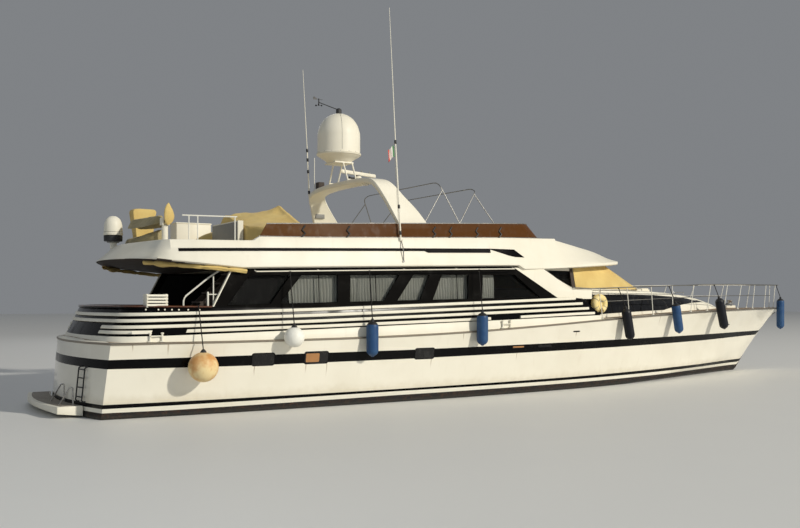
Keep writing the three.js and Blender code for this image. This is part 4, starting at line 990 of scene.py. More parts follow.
class BulwarkFace:
    """The bulwark's outer face from one x round to the middle of the stern."""

    def __init__(self, front=BULWARK_FRONT, until=None):
        sides = (
            plan(
                lambda x: deck_half(x) - BULWARK_INSET - lean, lambda y: transom_at(y) + STERN_SET + aft,
                CORNER_RADIUS, front, -1
            )
            for lean, aft in ((0, 0), (BULWARK_LEAN, STERN_LEAN))
        )
        self.frames = []
        foot, head = sides
        for i, (f, h) in enumerate(zip(foot, head)):
            after = foot[i + 1] if i + 1 < len(foot) else (foot[i - 1][0], -foot[i - 1][1])
            run = (Vector(after) - Vector(foot[max(0, i - 1)])).normalized()
            if until is None or f[0] > until:
                self.frames.append((Vector(f), Vector(h), Vector((-run.y, run.x))))

    def ring(self, frame, profile):
        """A profile of how far out of the face and how high, set at one station."""
        foot, head, outward = frame
        foot_z, head_z = deck_edge(max(0, foot.x)) - 0.04, line(CAP, foot.x)
        ring = []
        for out, z in profile(foot.x):
            place = foot.lerp(head, (z - foot_z) / (head_z - foot_z)) + outward * out
            ring.append((place.x, place.y, z))
        return ring

    def swept(self, name, profile, **options):
        return skin(name, [self.ring(frame, profile) for frame in self.frames], **options)


def wall_head(x):
    """The wall's top, cut down along a slope at its forward end."""
    start, head, slope = WALL_SLOPE
    return min(line(CAP, x), head - (x - start) * slope) if x > start else line(CAP, x)


def bulwark_wall():
    def profile(x):
        foot, black, head = deck_edge(max(0, x)) - 0.01, line(BATTENS, x, 5), wall_head(x)
        black = min(black, head - 0.02)
        outside = [
            (-0.004, foot), (-0.004, black - 0.012), (-0.012, black), (-0.03, black + 0.006),
            (-0.03, head - 0.01)
        ]
        top = [(-0.035, head), (0.005 - BULWARK_THICKNESS, head)]
        return outside + top + [(-BULWARK_THICKNESS, head - 0.01), (-BULWARK_THICKNESS, foot)]

    wall = BulwarkFace().swept(
        "bulwark_wall", profile, closed=True, ends=True, strips=(0, 0, 1, 1, 1, 1, 1, 0, 0),
        finishes=(WHITE, BLACK)
    )
    fit(cleaned(both_sides(wall)), "gloss_black", stands_for="bulwark")


def battens():
    """Four battens a side, the lowest in three lengths that leave the mooring pockets open."""
    section = [
        (-0.028, -0.037), (-0.006, -0.037), (0.004, -0.029), (0.007, 0), (0.004, 0.029), (-0.006, 0.037),
        (-0.028, 0.037)
    ]
    # columns: the batten's column in its table, its forward end, its aft end where it has one
    runs = [
        (1, 13.29, None), (2, 13.57, None), (3, 13.82, None), (4, 14.06, 11.11), (4, 10.13, 1.65),
        (4, 0.61, None)
    ]
    pieces = []
    for column, front, until in runs:
        face = BulwarkFace(front, until)
        if column > 2 and until is None:
            face.frames = [f for f in face.frames if f[0].y < -1.55]

        def profile(x):
            return [(out, line(BATTENS, x, column) + dz) for out, dz in section]

        batten = face.swept(f"batten_{len(pieces)}", profile, closed=True, ends=True)
        pieces.append(finished(cleaned(both_sides(batten)), WHITE))
    fit(joined("battens", *pieces), "gelcoat")


def capping():
    """Varnished capping round the stern, on a black bead with small white pads under it."""
    section = [
        (0.012, -0.004), (0.03, 0.006), (0.03, 0.022), (0.014, 0.034), (-0.16, 0.034), (-0.172, 0.02),
        (-0.165, -0.004)
    ]
    bead = [(-0.02, -0.03), (0.0, -0.03), (0.012, -0.02), (0.012, -0.006), (-0.02, -0.006)]
    for name, shape, slot, finish in (
        ("capping", section, "teak", MAHOGANY), ("capping_bead", bead, "gloss_black", BLACK)
    ):
        strip = BulwarkFace(CAPPING_FRONT).swept(
            name, lambda x: [(out, line(CAP, x) + dz) for out, dz in shape], closed=True, ends=True
        )
        fit(cleaned(both_sides(strip)), slot, finish)
    face, pads = BulwarkFace(2.2), []
    pad = [(0, -0.012), (0.016, -0.012), (0.02, 0), (0.016, 0.012), (0, 0.012)]
    for i in PAD_STATIONS:
        foot, _, outward = face.frames[i]
        z = line(CAP, foot.x) - 0.055
        place = face.ring(face.frames[i], lambda x: [(0.0, z)])[0]
        pads.append(turned("pad", pad, place, 12, (*outward, 0)))
    both(joined("capping_pads", *pads), "capping_pads", "gelcoat", WHITE)


def cleat(name, place):
    """A mooring cleat: two feet, and a bar with tapered horns."""
    half = [(0.05, 0, 0.06), (0.11, 0, 0.062), (0.15, 0, 0.075)]
    bar = tubes(name, [[(-x, y, z) for x, y, z in reversed(half)] + half], 0.017, 10)
    feet = [
        turned(
            "foot", [(0, 0), (0.03, 0), (0.026, 0.012), (0.016, 0.022), (0.015, 0.06), (0, 0.06)],
            (x, 0, 0), 16
        )
        for x in (-0.05, 0.05)
    ]
    whole = joined(name, bar, *feet)
    whole.data.transform(Matrix.Translation(place))
    return whole


def mooring_pockets():
    """White-lipped openings in the wall over each pair of bollards."""
    parts = []
    post = [(0, 0), (0.028, 0), (0.024, 0.02), (0.022, 0.17), (0.036, 0.185), (0.036, 0.205), (0, 0.215)]
    # columns: aft end of the opening, its forward end, x of each bollard
    for x0, x1, posts in ((0.61, 1.65, (0.99, 1.25)), (10.13, 11.11, (10.5, 10.77))):
        for x in posts:
            y, foot = -(deck_half(x) - 0.02), deck_edge(x) + 0.005
            base = plate(
                "pocket_base",
                [(x - 0.06, y - 0.03), (x + 0.06, y - 0.03), (x + 0.06, y + 0.05), (x - 0.06, y + 0.05)],
                "z", foot, foot + 0.02, 0.004
            )
            parts += [base, turned("post", post, (x, y, foot), 16)]
        y = -(deck_half((x0 + x1) / 2) - 0.012)
        parts.append(
            tubes(
                "pocket_bar",
                [
                    [
                        (posts[0], y - 0.012, deck_edge(x0) + 0.14),
                        (posts[1], y - 0.012, deck_edge(x0) + 0.14)
                    ]
                ],
                0.012
            )
        )
    both(joined("bollards", *parts), "bollards", "gelcoat", WHITE)


# Flybridge: roof, coaming and brow
def fly_columns(x):
    columns = [line(FLYBRIDGE, x, c) for c in (1, 2, 3, 4)]
    if x > 13:
        columns[0], columns[2] = sample(FLYBRIDGE, x, 1), sample(FLYBRIDGE, x, 3)
    return columns


def fly_ring(x, share=1.0, at=None, rake=0.0, lift=0.0):
    low_y, low_z, top_y, top_z = fly_columns(x)
    low_z += lift
    lip = min(low_z + BROW_LIP, top_z)
    shoulder = (low_y * 0.35 + top_y * 0.65, lip + (top_z - lip) * 0.6)
    camber = 0.0 if x < 13 else 0.04 * min(1, top_y)
    half = [
        (0, low_z + 0.02), (low_y * 0.5, low_z + 0.01), (low_y * 0.955, low_z),
        (low_y * 0.985, low_z + 0.006), (low_y, low_z + 0.03)
    ]
    half += [(low_y, lip - 0.02), (low_y - 0.01, lip)]
    half += [mix((low_y, lip), shoulder, t) for t in (0.25, 0.6)]
    half += [shoulder, mix(shoulder, (top_y, top_z), 0.8)]
    half += [
        (top_y - 0.012, top_z - 0.004), (top_y - 0.045, top_z), (top_y * 0.6, top_z + camber * 0.7),
        (0, top_z + camber)
    ]
    start = x if at is None else at
    return [(start + FLY_AFT_RAKE * rake * (z - low_z), -share * y, z) for y, z in half]


def flybridge():
    aft = [fly_ring(1.5, s, *(sample(FLY_AFT, s, c) for c in (1, 2, 3))) for s in spread(0, 0.93, 14)]
    aft.append(fly_ring(1.5, 0.972, 1.37, 0.13, 0.018))
    marks = [row[0] for row in FLYBRIDGE[:13]] + spread(1.8, 12.8, 44) + spread(13.1, 16.9, 30)
    marks = sorted({round(x, 3) for x in marks})
    body = both_sides(skin("flybridge_moulding", aft + [fly_ring(x) for x in marks]))
    finished(cleaned(capped(body, weld)), WHITE)
    # columns: x, half breadth of the well
    stations = [(1.45, 1.5), (1.7, 2.15), (2.1, 2.42)]
    stations += [(x, line(FLYBRIDGE, x, 3) - COAMING_THICKNESS) for x in (2.6, 3.6, 5, 7.4, 9.5, 11)]
    stations += [(12.1, 2.38), (12.35, 2.0)]
    rings = []
    for x, half in stations:
        floor = line(FLYBRIDGE, x, 2) + ROOF_THICKNESS
        rings.append([(x, -half, floor), (x, half, floor), (x, half, 5), (x, -half, 5)])
    well = finished(skin("well", rings, closed=True, ends=True), TEAK_DECK)
    hole = finished(block("stairway", (2.4, 3.65), (-2.6, -1.9), (3, 4.5), 0), WHITE)
    finished(cut_by(body, well, hole), DARK_TRIM_AND_SHADE)
    # the downward faces under the aft overhang get the dark finish: painted shade under the overhang
    shade_index, shade_front, shade_half = 3, 3.3, 2.78
    for face in body.data.polygons:
        if face.normal.z < -0.7 and face.center.x < shade_front and abs(face.center.y) < shade_half:
            face.material_index = shade_index
    fit(body, "gelcoat", stands_for="flybridge", smooth=28)
    locker = block("fly_locker", (3.05, 4.05), (1.9, 2.5), (3.455, 4.74), 0.03)
    lid = block("locker_lid", (3.04, 4.06), (1.89, 2.51), (4.72, 4.76), 0.012)
    fit(joined("fly_locker", locker, lid), "gelcoat", WHITE)


def cabinet_shade_face():
    """A grey panel on the aft side of the flybridge's white cabinet: painted shade on the face turned from
    the light.
    """
    panel = block("cabinet_shade_face", (3.706, 3.728), (-0.98, 0.84), (3.6, 4.59), 0.004)
    fit(panel, "dark", GREY)


def on_coaming(x, z, out=0.004):
    """A point on the coaming's starboard face at a height."""
    low_y, low_z, top_y, top_z = fly_columns(x)
    lip = low_z + BROW_LIP
    shoulder = (low_y * 0.35 + top_y * 0.65, lip + (top_z - lip) * 0.6)
    a, b = ((low_y, lip), shoulder) if z < shoulder[1] else (shoulder, (top_y, top_z))
    t = (z - a[1]) / (b[1] - a[1])
    return (x, -(a[0] + (b[0] - a[0]) * t) - out, z)


def ribbon(name, rows, finish, slot, out=0.004, depth=0.01):
    """A thin strip on the coaming between two heights at each x."""
    rings = [[on_coaming(x, low, out), on_coaming(x, (low + high) / 2, out), on_coaming(x, high, out),
              on_coaming(x, high, out - depth), on_coaming(x, low, out - depth)] for x, low, high in rows]
    return both(skin(name, rings, closed=True, ends=True), name, slot, finish)


def coaming_trim():
    """The thin black stripe that climbs forward, the wider one ahead of it and its slanted end panel."""
    thin, wide, widens = 0.035, 0.078, 8.15
    middle = {x: 3.745 + (x - 1.6) * 0.0256 for x in spread(1.66, 10.2, 84)}
    rows = [(x, z - (thin if x < widens else wide), z + thin) for x, z in middle.items()]
    ribbon("coaming_stripe", rows, STRIPE_BLACK, "gloss_black", 0.014, 0.036)
    ribbon(
        "coaming_panel",
        [
            (10.16, 3.99, 4.0), (10.5, 3.905, 4.0), (10.8, 3.83, 4.0), (11.05, 3.79, 4.0),
            (11.2, 3.79, 3.9), (11.38, 3.79, 3.8)
        ],
        BLACK, "gloss_black", 0.009, 0.03
    )


# Radar arch
def arch():
    def ring(y0, z0, y1, z1, aft, fore, side=-1):
        ease = 0.1 * (fore - aft)
        outer = [
            (aft, 0.35), (aft + ease * 0.4, 0), (aft + ease, 0), (fore - ease, 0), (fore - ease * 0.4, 0),
            (fore, 0.35)
        ]
        inner = [
            (fore, 0.65), (fore - ease * 0.4, 1), (fore - ease, 1), (aft + ease, 1), (aft + ease * 0.4, 1),
            (aft, 0.65)
        ]
        return [(x, side * (y0 + (y1 - y0) * t), z0 + (z1 - z0) * t) for x, t in outer + inner]

    table = [(i, *row) for i, row in enumerate(ARCH)]
    rows = [[sample(table, t, c) for c in range(1, 7)] for t in spread(0, len(ARCH) - 1, 42)]
    rows += [[ARCH[-1][0] * k, 5.92, ARCH[-1][2] * k, 5.79, 7.08, 7.56] for k in (0.5, 0.0)]
    body = both_sides(skin("arch_moulding", [ring(*row) for row in rows], closed=True))
    fit(cleaned(capped(body)), "gelcoat", WHITE, stands_for="radar_arch", smooth=50)


def arch_fittings():
    """A lamp under the arch, and the speaker, rod, horn and vent on its port side."""
    lamp = turned(
        "arch_lamp", [(0, -0.035), (0.075, -0.03), (0.1, 0), (0.1, 0.05), (0, 0.05)], (7.3, -1.22, 5.74), 24
    )
    speaker = block("arch_speaker", (7.2, 7.4), (1.5, 1.72), (5.84, 6.1), 0.02)
    rod = rods("arch_rod", [((7.2, 1.78, 5.8), (7.2, 1.78, 6.84))], 0.012)
    horn = turned(
        "arch_horn", [(0, -0.14), (0.05, -0.14), (0.03, -0.06), (0.02, 0.1), (0, 0.1)], (7.34, -0.45, 5.99),
        16, (1, 0, 0)
    )
    vent = block("arch_vent", (7.42, 7.72), (2.15, 2.22), (5.08, 5.22), 0.006)
    fit(
        joined(
            "arch_fittings", finished(lamp, LAMP), finished(speaker, DARK_TRIM_AND_SHADE), finished(rod, PAINTED_TUBE),
            finished(horn, RUBBER), finished(vent, GREY)
        ),
        "gelcoat"
    )


# Domes, scanner, wind gear and whips
def dome():
    cover = [(0, 0), (0.325, 0), (0.36, 0.02), (0.396, 0.06), (0.5, 0.125), (0.585, 0.18), (0.6, 0.195)]
    flange = [
        (0.618, 0.2), (0.624, 0.205), (0.624, 0.222), (0.608, 0.226), (0.608, 0.234), (0.624, 0.238),
        (0.624, 0.252), (0.603, 0.262)
    ]
    top = [
        (0.6, 0.3), (0.6, 0.74), (0.595, 0.826), (0.572, 0.913), (0.54, 1.02), (0.484, 1.12),
        (0.418, 1.207), (0.341, 1.272), (0.253, 1.326), (0.165, 1.359), (0.077, 1.375), (0, 1.381)
    ]
    shell = turned("dome_cover", cover + flange + top, (DOME_X, 0, DOME_FOOT), 64)
    fit(shell, "gelcoat", WHITE, stands_for="satellite_dome")
    turn = math.radians(-108)
    seam = [
        (DOME_X + r * math.cos(turn) * 1.002, r * math.sin(turn) * 1.002, DOME_FOOT + h)
        for r, h in top[:-2]
    ]
    fit(tubes("dome_seam", [seam], 0.005, 4), "dark", GREY)
    bolts = [
        (DOME_X + 0.614 * math.cos(a), 0.614 * math.sin(a), 6.715) for a in spread(0, 2 * math.pi, 16)[:-1]
    ]
    studs = [turned("stud", [(0, -0.01), (0.009, -0.01), (0.009, 0.012), (0, 0.012)], p, 8) for p in bolts]
    fit(joined("dome_studs", *studs), "steel", STEEL)


def small_dome():
    shell = [
        (0.236, 0.245), (0.236, 0.3), (0.23, 0.42), (0.215, 0.49), (0.19, 0.56), (0.155, 0.605),
        (0.11, 0.64), (0.06, 0.66), (0, 0.665)
    ]
    ring = [(0, 0.158), (0.243, 0.158), (0.247, 0.165), (0.247, 0.228), (0.24, 0.236), (0.0, 0.236)]
    drum = [(0, 0), (0.225, 0), (0.236, 0.012), (0.24, 0.13), (0.226, 0.15), (0, 0.152)]
    gap = [(0, 0.236), (0.232, 0.236), (0.232, 0.246), (0, 0.246)]
    post = block("dome_post", (1.17, 1.32), (1.43, 1.57), (3.95, 4.146), 0.012)
    bracket = block("dome_bracket", (1.1, 1.38), (1.4, 1.6), (4.11, 4.148), 0.01)
    layers = ((drum, RUBBER), (ring, WHITE), (gap, RUBBER), ([(0, 0.245)] + shell, WHITE))
    parts = [finished(turned("dome_layer", profile, SMALL_DOME, 40), finish) for profile, finish in layers]
    parts += [finished(post, WHITE), finished(bracket, GREY)]
    fit(joined("small_dome_unit", *parts), "gelcoat", stands_for="small_dome")


def mast_stand():
    middle = DOME_X + 0.12
    legs = [
        ((middle + i * 0.13, j * 0.6, 5.86), (middle + i * 0.14, j * 0.3, 6.44))
        for i in (-1, 1)
        for j in (-1, 1)
    ]
    struts = rods("stand_legs", legs, 0.022, 12)
    top = block("stand_top", (DOME_X - 0.28, middle + 0.18), (-0.33, 0.33), (6.42, 6.46), 0.008)
    bars = [
        block(
            "stand_tie", (middle - 0.15, middle + 0.24), (j * 0.554 - 0.015, j * 0.554 + 0.015),
            (5.925, 5.955), 0.004
        )
        for j in (-1, 1)
    ]
    cross = block("stand_cross", (middle + 0.17, middle + 0.24), (-0.57, 0.78), (5.94, 5.975), 0.006)
    foot = block(
        "scanner_foot", (DOME_X + 0.29, SCANNER[0] + 0.12), (SCANNER[1] - 0.1, SCANNER[1] + 0.1),
        (5.95, 5.985), 0.008
    )
    head = turned(
        "scanner_head",
        [(0, 0), (0.12, 0), (0.124, 0.02), (0.118, 0.16), (0.1, 0.215), (0.08, 0.25), (0, 0.25)],
        (SCANNER[0], SCANNER[1], 5.98), 32
    )
    fit(
        joined("stand_unit", struts, top, *bars, cross, foot, head), "gelcoat", WHITE,
        stands_for="mast_stand"
    )


def scanner():
    section = [
        (-0.055, 0.04), (-0.048, 0.03), (0.048, 0.03), (0.055, 0.04), (0.055, 0.1), (0.035, 0.128),
        (0, 0.132), (-0.035, 0.128), (-0.055, 0.1)
    ]
    rings = [
        [(x, y * k, 0.08 + (z - 0.08) * k) for y, z in section]
        for x, k in ((-0.75, 0.55), (-0.735, 0.9), (-0.71, 1), (0.71, 1), (0.735, 0.9), (0.75, 0.55))
    ]
    bar = skin("scanner_bar", rings, closed=True, ends=True)
    boss = turned("boss", [(0, 0), (0.07, 0), (0.07, 0.03), (0.05, 0.04), (0, 0.04)], (0, 0, 0), 24)
    lamps = [
        turned("lamp", [(0, 0.12), (0.022, 0.12), (0.022, 0.17), (0.014, 0.187), (0, 0.19)], (x, 0, 0), 16)
        for x in (0.15, 0.5)
    ]
    whole = joined(
        "scanner_unit", finished(bar, WHITE), finished(boss, GREY),
        *[finished(lamp, GREY) for lamp in lamps]
    )
    whole.data.transform(Matrix.Translation(SCANNER) @ Matrix.Rotation(math.radians(SCANNER_TURN), 4, "Z"))
    fit(whole, "gelcoat", body="radar_scanner", stands_for="radar_scanner")


def wind_gear():
    foot = turned(
        "wind_foot",
        [(0, 0), (0.07, 0), (0.078, 0.01), (0.078, 0.125), (0.06, 0.14), (0.04, 0.16), (0, 0.16)],
        (DOME_X, 0, 7.83), 24
    )
    arm = tubes("wind_arm", [rounded([(DOME_X, 0, 7.95), (7.0, 0.05, 7.99), WIND], 0.1)], 0.012, 8)
    post = turned(
        "wind_post", [(0, -0.06), (0.014, -0.06), (0.018, -0.02), (0.018, 0.03), (0.013, 0.06), (0, 0.06)],
        WIND, 16
    )
    fit(joined("wind_stand", foot, arm, post), "dark", RUBBER, stands_for="wind_arm")
    hub = turned("hub", [(0, 0), (0.018, 0), (0.018, 0.03), (0.01, 0.045), (0, 0.045)], (0, 0, 0), 16)
    tail = plate(
        "tail", [(-0.17, 0.0), (-0.05, 0.012), (-0.04, 0.03), (-0.13, 0.085), (-0.175, 0.08)], "y", -0.002,
        0.002
    )
    nose = turned(
        "nose", [(0, -0.06), (0.005, -0.06), (0.005, 0.09), (0.009, 0.095), (0.009, 0.105), (0, 0.12)],
        (0, 0, 0.02), 10, (1, 0, 0)
    )
    vane = joined("vane_unit", hub, tail, nose)
    vane.data.transform(Matrix.Translation((WIND[0], WIND[1], WIND[2] + 0.0603)))
    fit(vane, "dark", RUBBER, body="wind_vane", stands_for="wind_vane")
    cup = turned(
        "cup",
        [
            (0, -0.022), (0.012, -0.018), (0.021, -0.006), (0.024, 0.012), (0.022, 0.012), (0.018, -0.004),
            (0.01, -0.014), (0, -0.018)
        ],
        (0.09, 0, -0.02), 16, (0, 1, 0)
    )
    one = joined("arm", cup, rods("stalk", [((0, 0, -0.02), (0.07, 0, -0.02))], 0.004, 6))
    arms = [copied(one, "arm", turn=Matrix.Rotation(math.radians(a), 4, "Z")) for a in (120, 240)]
    hub = turned("hub", [(0, -0.04), (0.012, -0.038), (0.016, -0.03), (0.016, 0), (0, 0)], (0, 0, 0), 16)
    cups = joined("cups_unit", one, *arms, hub)
    cups.data.transform(Matrix.Translation((WIND[0], WIND[1], WIND[2] - 0.0603)))
    fit(cups, "dark", RUBBER, body="wind_cups", stands_for="wind_cups")


def whip(mast, tip, steps, taper, collar, lean, heights):
    """The mast, tip and collars of a whip. lean is how far it goes along X and Y for each metre up."""
    parts = []
    for (start, end), count, radius, sides, thin in (
        (mast, steps[0], 0.022, 10, 0.8),
        (tip, steps[1], 0.014, 8, taper),
    ):
        run = [Vector(start).lerp(Vector(end), t) for t in spread(0, 1, count)]
        parts.append(finished(tubes("whip", [run], radius, sides, thin), WHITE))
    x, y, foot = mast[0]
    for z in heights:
        place = (x + (z - foot) * lean[0], y + (z - foot) * lean[1], z)
        parts.append(finished(turned("collar", collar, place, 16, (*lean, 1)), RUBBER))
    return parts


def whips():
    """A tall whip at the starboard coaming, with its leg and foot, and a shorter one on the arch."""
    starboard = whip(
        ((7.38, -2.93, 4.15), (7.38, -2.66, 6.7)),
        ((7.38, -2.664, 6.67), (7.38, -2.35, 10.23)),
        (8, 12),
        0.4,
        [(0, -0.05), (0.027, -0.05), (0.03, -0.04), (0.03, 0.04), (0.027, 0.05), (0, 0.05)],
        (0, 0.106),
        (4.32, 5.0, 6.68),
    )
    cup = block("whip_cup", (7.33, 7.43), (-2.99, -2.885), (4.12, 4.2), 0.012)
    leg = tubes("whip_leg", [[(7.38, -2.95, 4.14), (7.38, -3.06, 3.9), (7.38, -3.075, 3.6)]], 0.014, 8)
    foot = turned(
        "whip_foot", [(0, 0), (0.03, 0), (0.026, 0.02), (0, 0.022)], (7.38, -3.082, 3.59), 12, (0, 1, 0.1)
    )
    starboard += [finished(cup, WHITE), finished(leg, STEEL), finished(foot, STEEL)]
    port = whip(
        ((7.13, 1.99, 5.7), (7.06, 1.99, 7.1)),
        ((7.062, 1.99, 7.07), (6.92, 1.99, 9.48)),
        (6, 10),
        0.45,
        [(0, -0.05), (0.03, -0.05), (0.034, -0.03), (0.034, 0.03), (0.03, 0.05), (0, 0.05)],
        (-0.05, 0),
        (5.83, 6.45, 6.8, 7.08),
    )
    for side, parts in (("starboard", starboard), ("port", port)):
        fit(joined(f"whip_{side}_unit", *parts), "gelcoat", stands_for="whip_" + side)


def bunting():
    """Three upright stripes of flag cloth."""
    finish = Finish("bunting", roughness=0.85)
    weave = (finish.x * 2500.0).wave() * (finish.z * 2500.0).wave()
    hoist = 7.335 - MIDSHIPS
    tone = finish.mixed(finish.x.below(hoist - 0.14), (0.75, 0.72, 0.66), (0.6, 0.05, 0.03))
    tone = finish.mixed(finish.x.above(hoist - 0.055), tone, (0.03, 0.2, 0.07))
    finish.set(Base_Color=finish.mixed(finish.spots(12.0) * 0.25, tone, (0.4, 0.36, 0.3)))
    finish.bumped(weave, 0.0005)
    return finish.material


def pennant():
    """A small flag drooping from its halyard beside the starboard whip."""
    halyard = fit(
        tubes("halyard", [[(7.34, -2.905, 4.3), (7.34, -2.655, 6.66)]], 0.004, 6), "dark", PALE_ROPE
    )
    rings = []
    for s in spread(0, 1, 26):
        rings.append(
            [
                (
                    7.335 - 0.2 * s,
                    -2.668 + 0.035 * math.sin(10 * s + 2.5 * t) * s - 0.108 * (0.29 * t + 0.17 * s * s),
                    6.57 - 0.17 * s * s - 0.29 * t + 0.015 * math.sin(8 * s)
                )
                for t in spread(0, 1, 20)
            ]
        )
    cloth = applied(skin("pennant", rings), "SOLIDIFY", thickness=0.001, offset=0)
    fit(cloth, "cloth", bunting(), smooth=70)


# Bow rail and windlass
def rail_point(x, down=0.0, aft=0.0, out=0.0):
    return (x - aft, -line(RAIL, x, 1) - out, line(RAIL, x, 2) - down)


def bow_rail():
    stations = [13.34, 14.1] + spread(14.6, 26.15, 24)
    head = [rail_point(x) for x in stations]
    heads = tubes("rail", [head + [(x, -y, z) for x, y, z in reversed(head)]], 0.017, 12)
    middle = [rail_point(x, 0.4, 0.08, 0.025) for x in spread(14.6, 25.5, 22)]
    middles = tubes("rail", [middle, [(x, -y, z) for x, y, z in middle]], 0.011, 8)
    bars = [((x, -deck_half(x) + 0.11, deck_edge(x)), rail_point(x + lean)) for x, lean in STANCHIONS]
    posts = rods("posts", bars, 0.013, 10)
    feet = [
        turned(
            "foot",
            [
                (0, -0.012), (0.042, -0.012), (0.042, 0.004), (0.034, 0.01), (0.02, 0.014), (0.017, 0.05),
                (0, 0.05)
            ],
            (x, -deck_half(x) + 0.11, deck_edge(x) + 0.012), 16
        )
        for x, _ in STANCHIONS
    ]
    starboard = finished(joined("posts", posts, *feet), PAINTED_TUBE)
    rails = [finished(heads, TUBE), finished(middles, TUBE)]
    fit(
        joined("bow_rail_unit", *rails, starboard, mirrored(starboard, "port_posts")), "steel",
        stands_for="bow_rail"
    )


def windlass():
    bed = block("windlass_bed", (23, 23.5), (-0.22, 0.22), (2.3, 2.4), 0.02)
    drum = [
        (0, 0), (0.09, 0), (0.088, 0.02), (0.062, 0.05), (0.058, 0.09), (0.062, 0.13), (0.088, 0.17),
        (0.095, 0.185), (0.095, 0.205), (0.05, 0.21), (0, 0.21)
    ]
    drums = [turned("drum", drum, (23.25, y, 2.39), 32) for y in (-0.15, 0.15)]
    motor = turned(
        "motor", [(0, -0.13), (0.06, -0.13), (0.07, -0.11), (0.07, 0.11), (0.06, 0.13), (0, 0.13)],
        (23.42, 0, 2.46), 24, (0, 1, 0)
    )
    cleats = [cleat("cleat", (22.0, y, deck_edge(22.0) + 0.02)) for y in (-0.9, 0.9)]
    fit(
        joined(
            "windlass_unit", finished(bed, WHITE), *[finished(p, STEEL) for p in [*drums, motor, *cleats]]
        ),
        "steel", stands_for="windlass"
    )


# Solids that keep their shape and get their finishes
def dress(finish, *nodes, ease=0.0):
    for node in nodes:
        solid = frame["nodes"][node]
        if not solid.material_slots:
            solid.data.materials.append(finish)
        for place in solid.material_slots:
            place.material = finish
        if ease:
            bevel = solid.modifiers.new("eased edges", "BEVEL")
            bevel.width, bevel.segments = ease, 2
            bevel.limit_method, bevel.angle_limit = "ANGLE", EASED_ANGLE


def dressed_solids():
    dress(CABIN_BLACK, "cabin_side_starboard", "cabin_side_port", "aft_bulkhead", ease=0.004)
    dress(GLASS, "side_glass_starboard", "side_glass_port", "wheelhouse_glass")
    dress(
        WHITE, "wheelhouse", "coachroof", "crane_column", "crane_head", "fly_helm", "cap_locker",
        "foredeck_hatch", "fly_cabinet", ease=0.008
    )
    dress(STEEL, "shaft_starboard", "shaft_port")
    dress(PAINTED_TUBE, "cap_rail", "fly_rail")
    dress(ALUMINIUM, "saloon_door_starboard", "saloon_door_port", ease=0.003)
    dress(BRONZE, "propeller_starboard", "propeller_port", "rudder_starboard", "rudder_port")
    dress(SCREEN, "fly_screen")
    dress(RUBBER, "transom_ladder")
    dress(DARK_TRIM_AND_SHADE, "stair")
    dress(MAHOGANY, "cockpit_table", ease=0.01)


# Cabin sides: facings, panes' edges and curtains
def on_side(x, z, out=0.0):
    return (x, -side_half(x, z) - out, z)


def pane_foot(x):
    return 2.52 + 0.0205 * (x - 4)


def pane_head(x):
    return 3.225 + 0.0155 * (x - 5.6)


def facing(name, rows, out=0.008, depth=0.022, steps=10):
    """A thin panel on the cabin's starboard side, given by rows of height, aft end and fore end."""
    rings = []
    for z, aft, fore in rows:
        xs = spread(aft, fore, steps)
        rings.append([on_side(x, z, out) for x in xs] + [on_side(x, z, out - depth) for x in reversed(xs)])
    return skin(name, rings, closed=True, ends=True)


def cabin_facings():
    def aft_edge(z):
        return 11.05 + (3.49 - z) * 1.9

    def wing(z):
        return (z - 2.45) * 0.528

    rows = [(z, aft_edge(z), 14.0 + 0.04 * (z - 2.66) / 0.24) for z in spread(2.64, 2.9, 4)]
    rows += [(z, aft_edge(z), 12.12 + (3.48 - z) * 1.857) for z in spread(2.902, 3.5, 8)]
    both(facing("pillar_facing", rows), "pillar_facing", "gelcoat", WHITE)
    edge = [(z, 2.4 + wing(z), 2.43 + wing(z)) for z in spread(2.46, 3.3, 8)]
    both(facing("wing_edge", edge, 0.012, 0.08, 2), "wing_edge", "gelcoat", WHITE)
    ledge = tubes(
        "window_ledge", [[on_side(x, 2.66 + 0.002 * x, 0.004) for x in spread(12.6, 14.02, 8)]], 0.01, 8
    )
    both(ledge, "window_ledge", "gelcoat", WHITE)


def wing_fittings():
    """A handrail in the starboard gangway, and near-black sheets inside the wings as painted shade."""
    rail = tubes(
        "wing_rail",
        [
            rounded(
                [(1.84, -2.545, 1.95), (1.84, -2.545, 2.66), (2.42, -2.545, 3.12), (2.7, -2.545, 3.3)], 0.09
            )
        ],
        0.021, 10
    )
    fit(rail, "steel", PAINTED_TUBE)
    # near-black sheets inboard of the wings' faces: painted shade
    rows = [(z, 2.62 + (z - 2.45) * 0.528, 4.28) for z in spread(2.46, 3.3, 6)]
    both(facing("wing_lining", rows, -0.115, 0.012, 8), "wing_lining", "dark", SHADE_SHEET)


def pane_edges():
    """A black line round each saloon window, and the joints between panes."""
    runs = []
    for low_aft, low_fore, top_fore, top_aft in SALOON_WINDOWS:
        corners = [(x, pane_foot(x)) for x in (low_aft, low_fore)]
        corners += [(x, pane_head(x)) for x in (top_fore, top_aft)]
        loop = corners + corners[:1]
        runs.append(
            [on_side(*mix(a, b, t), 0.003) for a, b in zip(loop, loop[1:]) for t in (0, 0.25, 0.5, 0.75)]
        )
    both(tubes("pane_edges", runs, 0.007, 6, loop=True), "pane_edges", "gloss_black", CABIN_BLACK)
    joints = [
        (on_side(x, pane_foot(x), -0.004), on_side(x, pane_head(x), -0.004)) for x in (5.055, 6.62, 9.08)
    ]
    both(rods("pane_joints", joints, 0.011, 6), "pane_joints", "gloss_black", CABIN_BLACK)


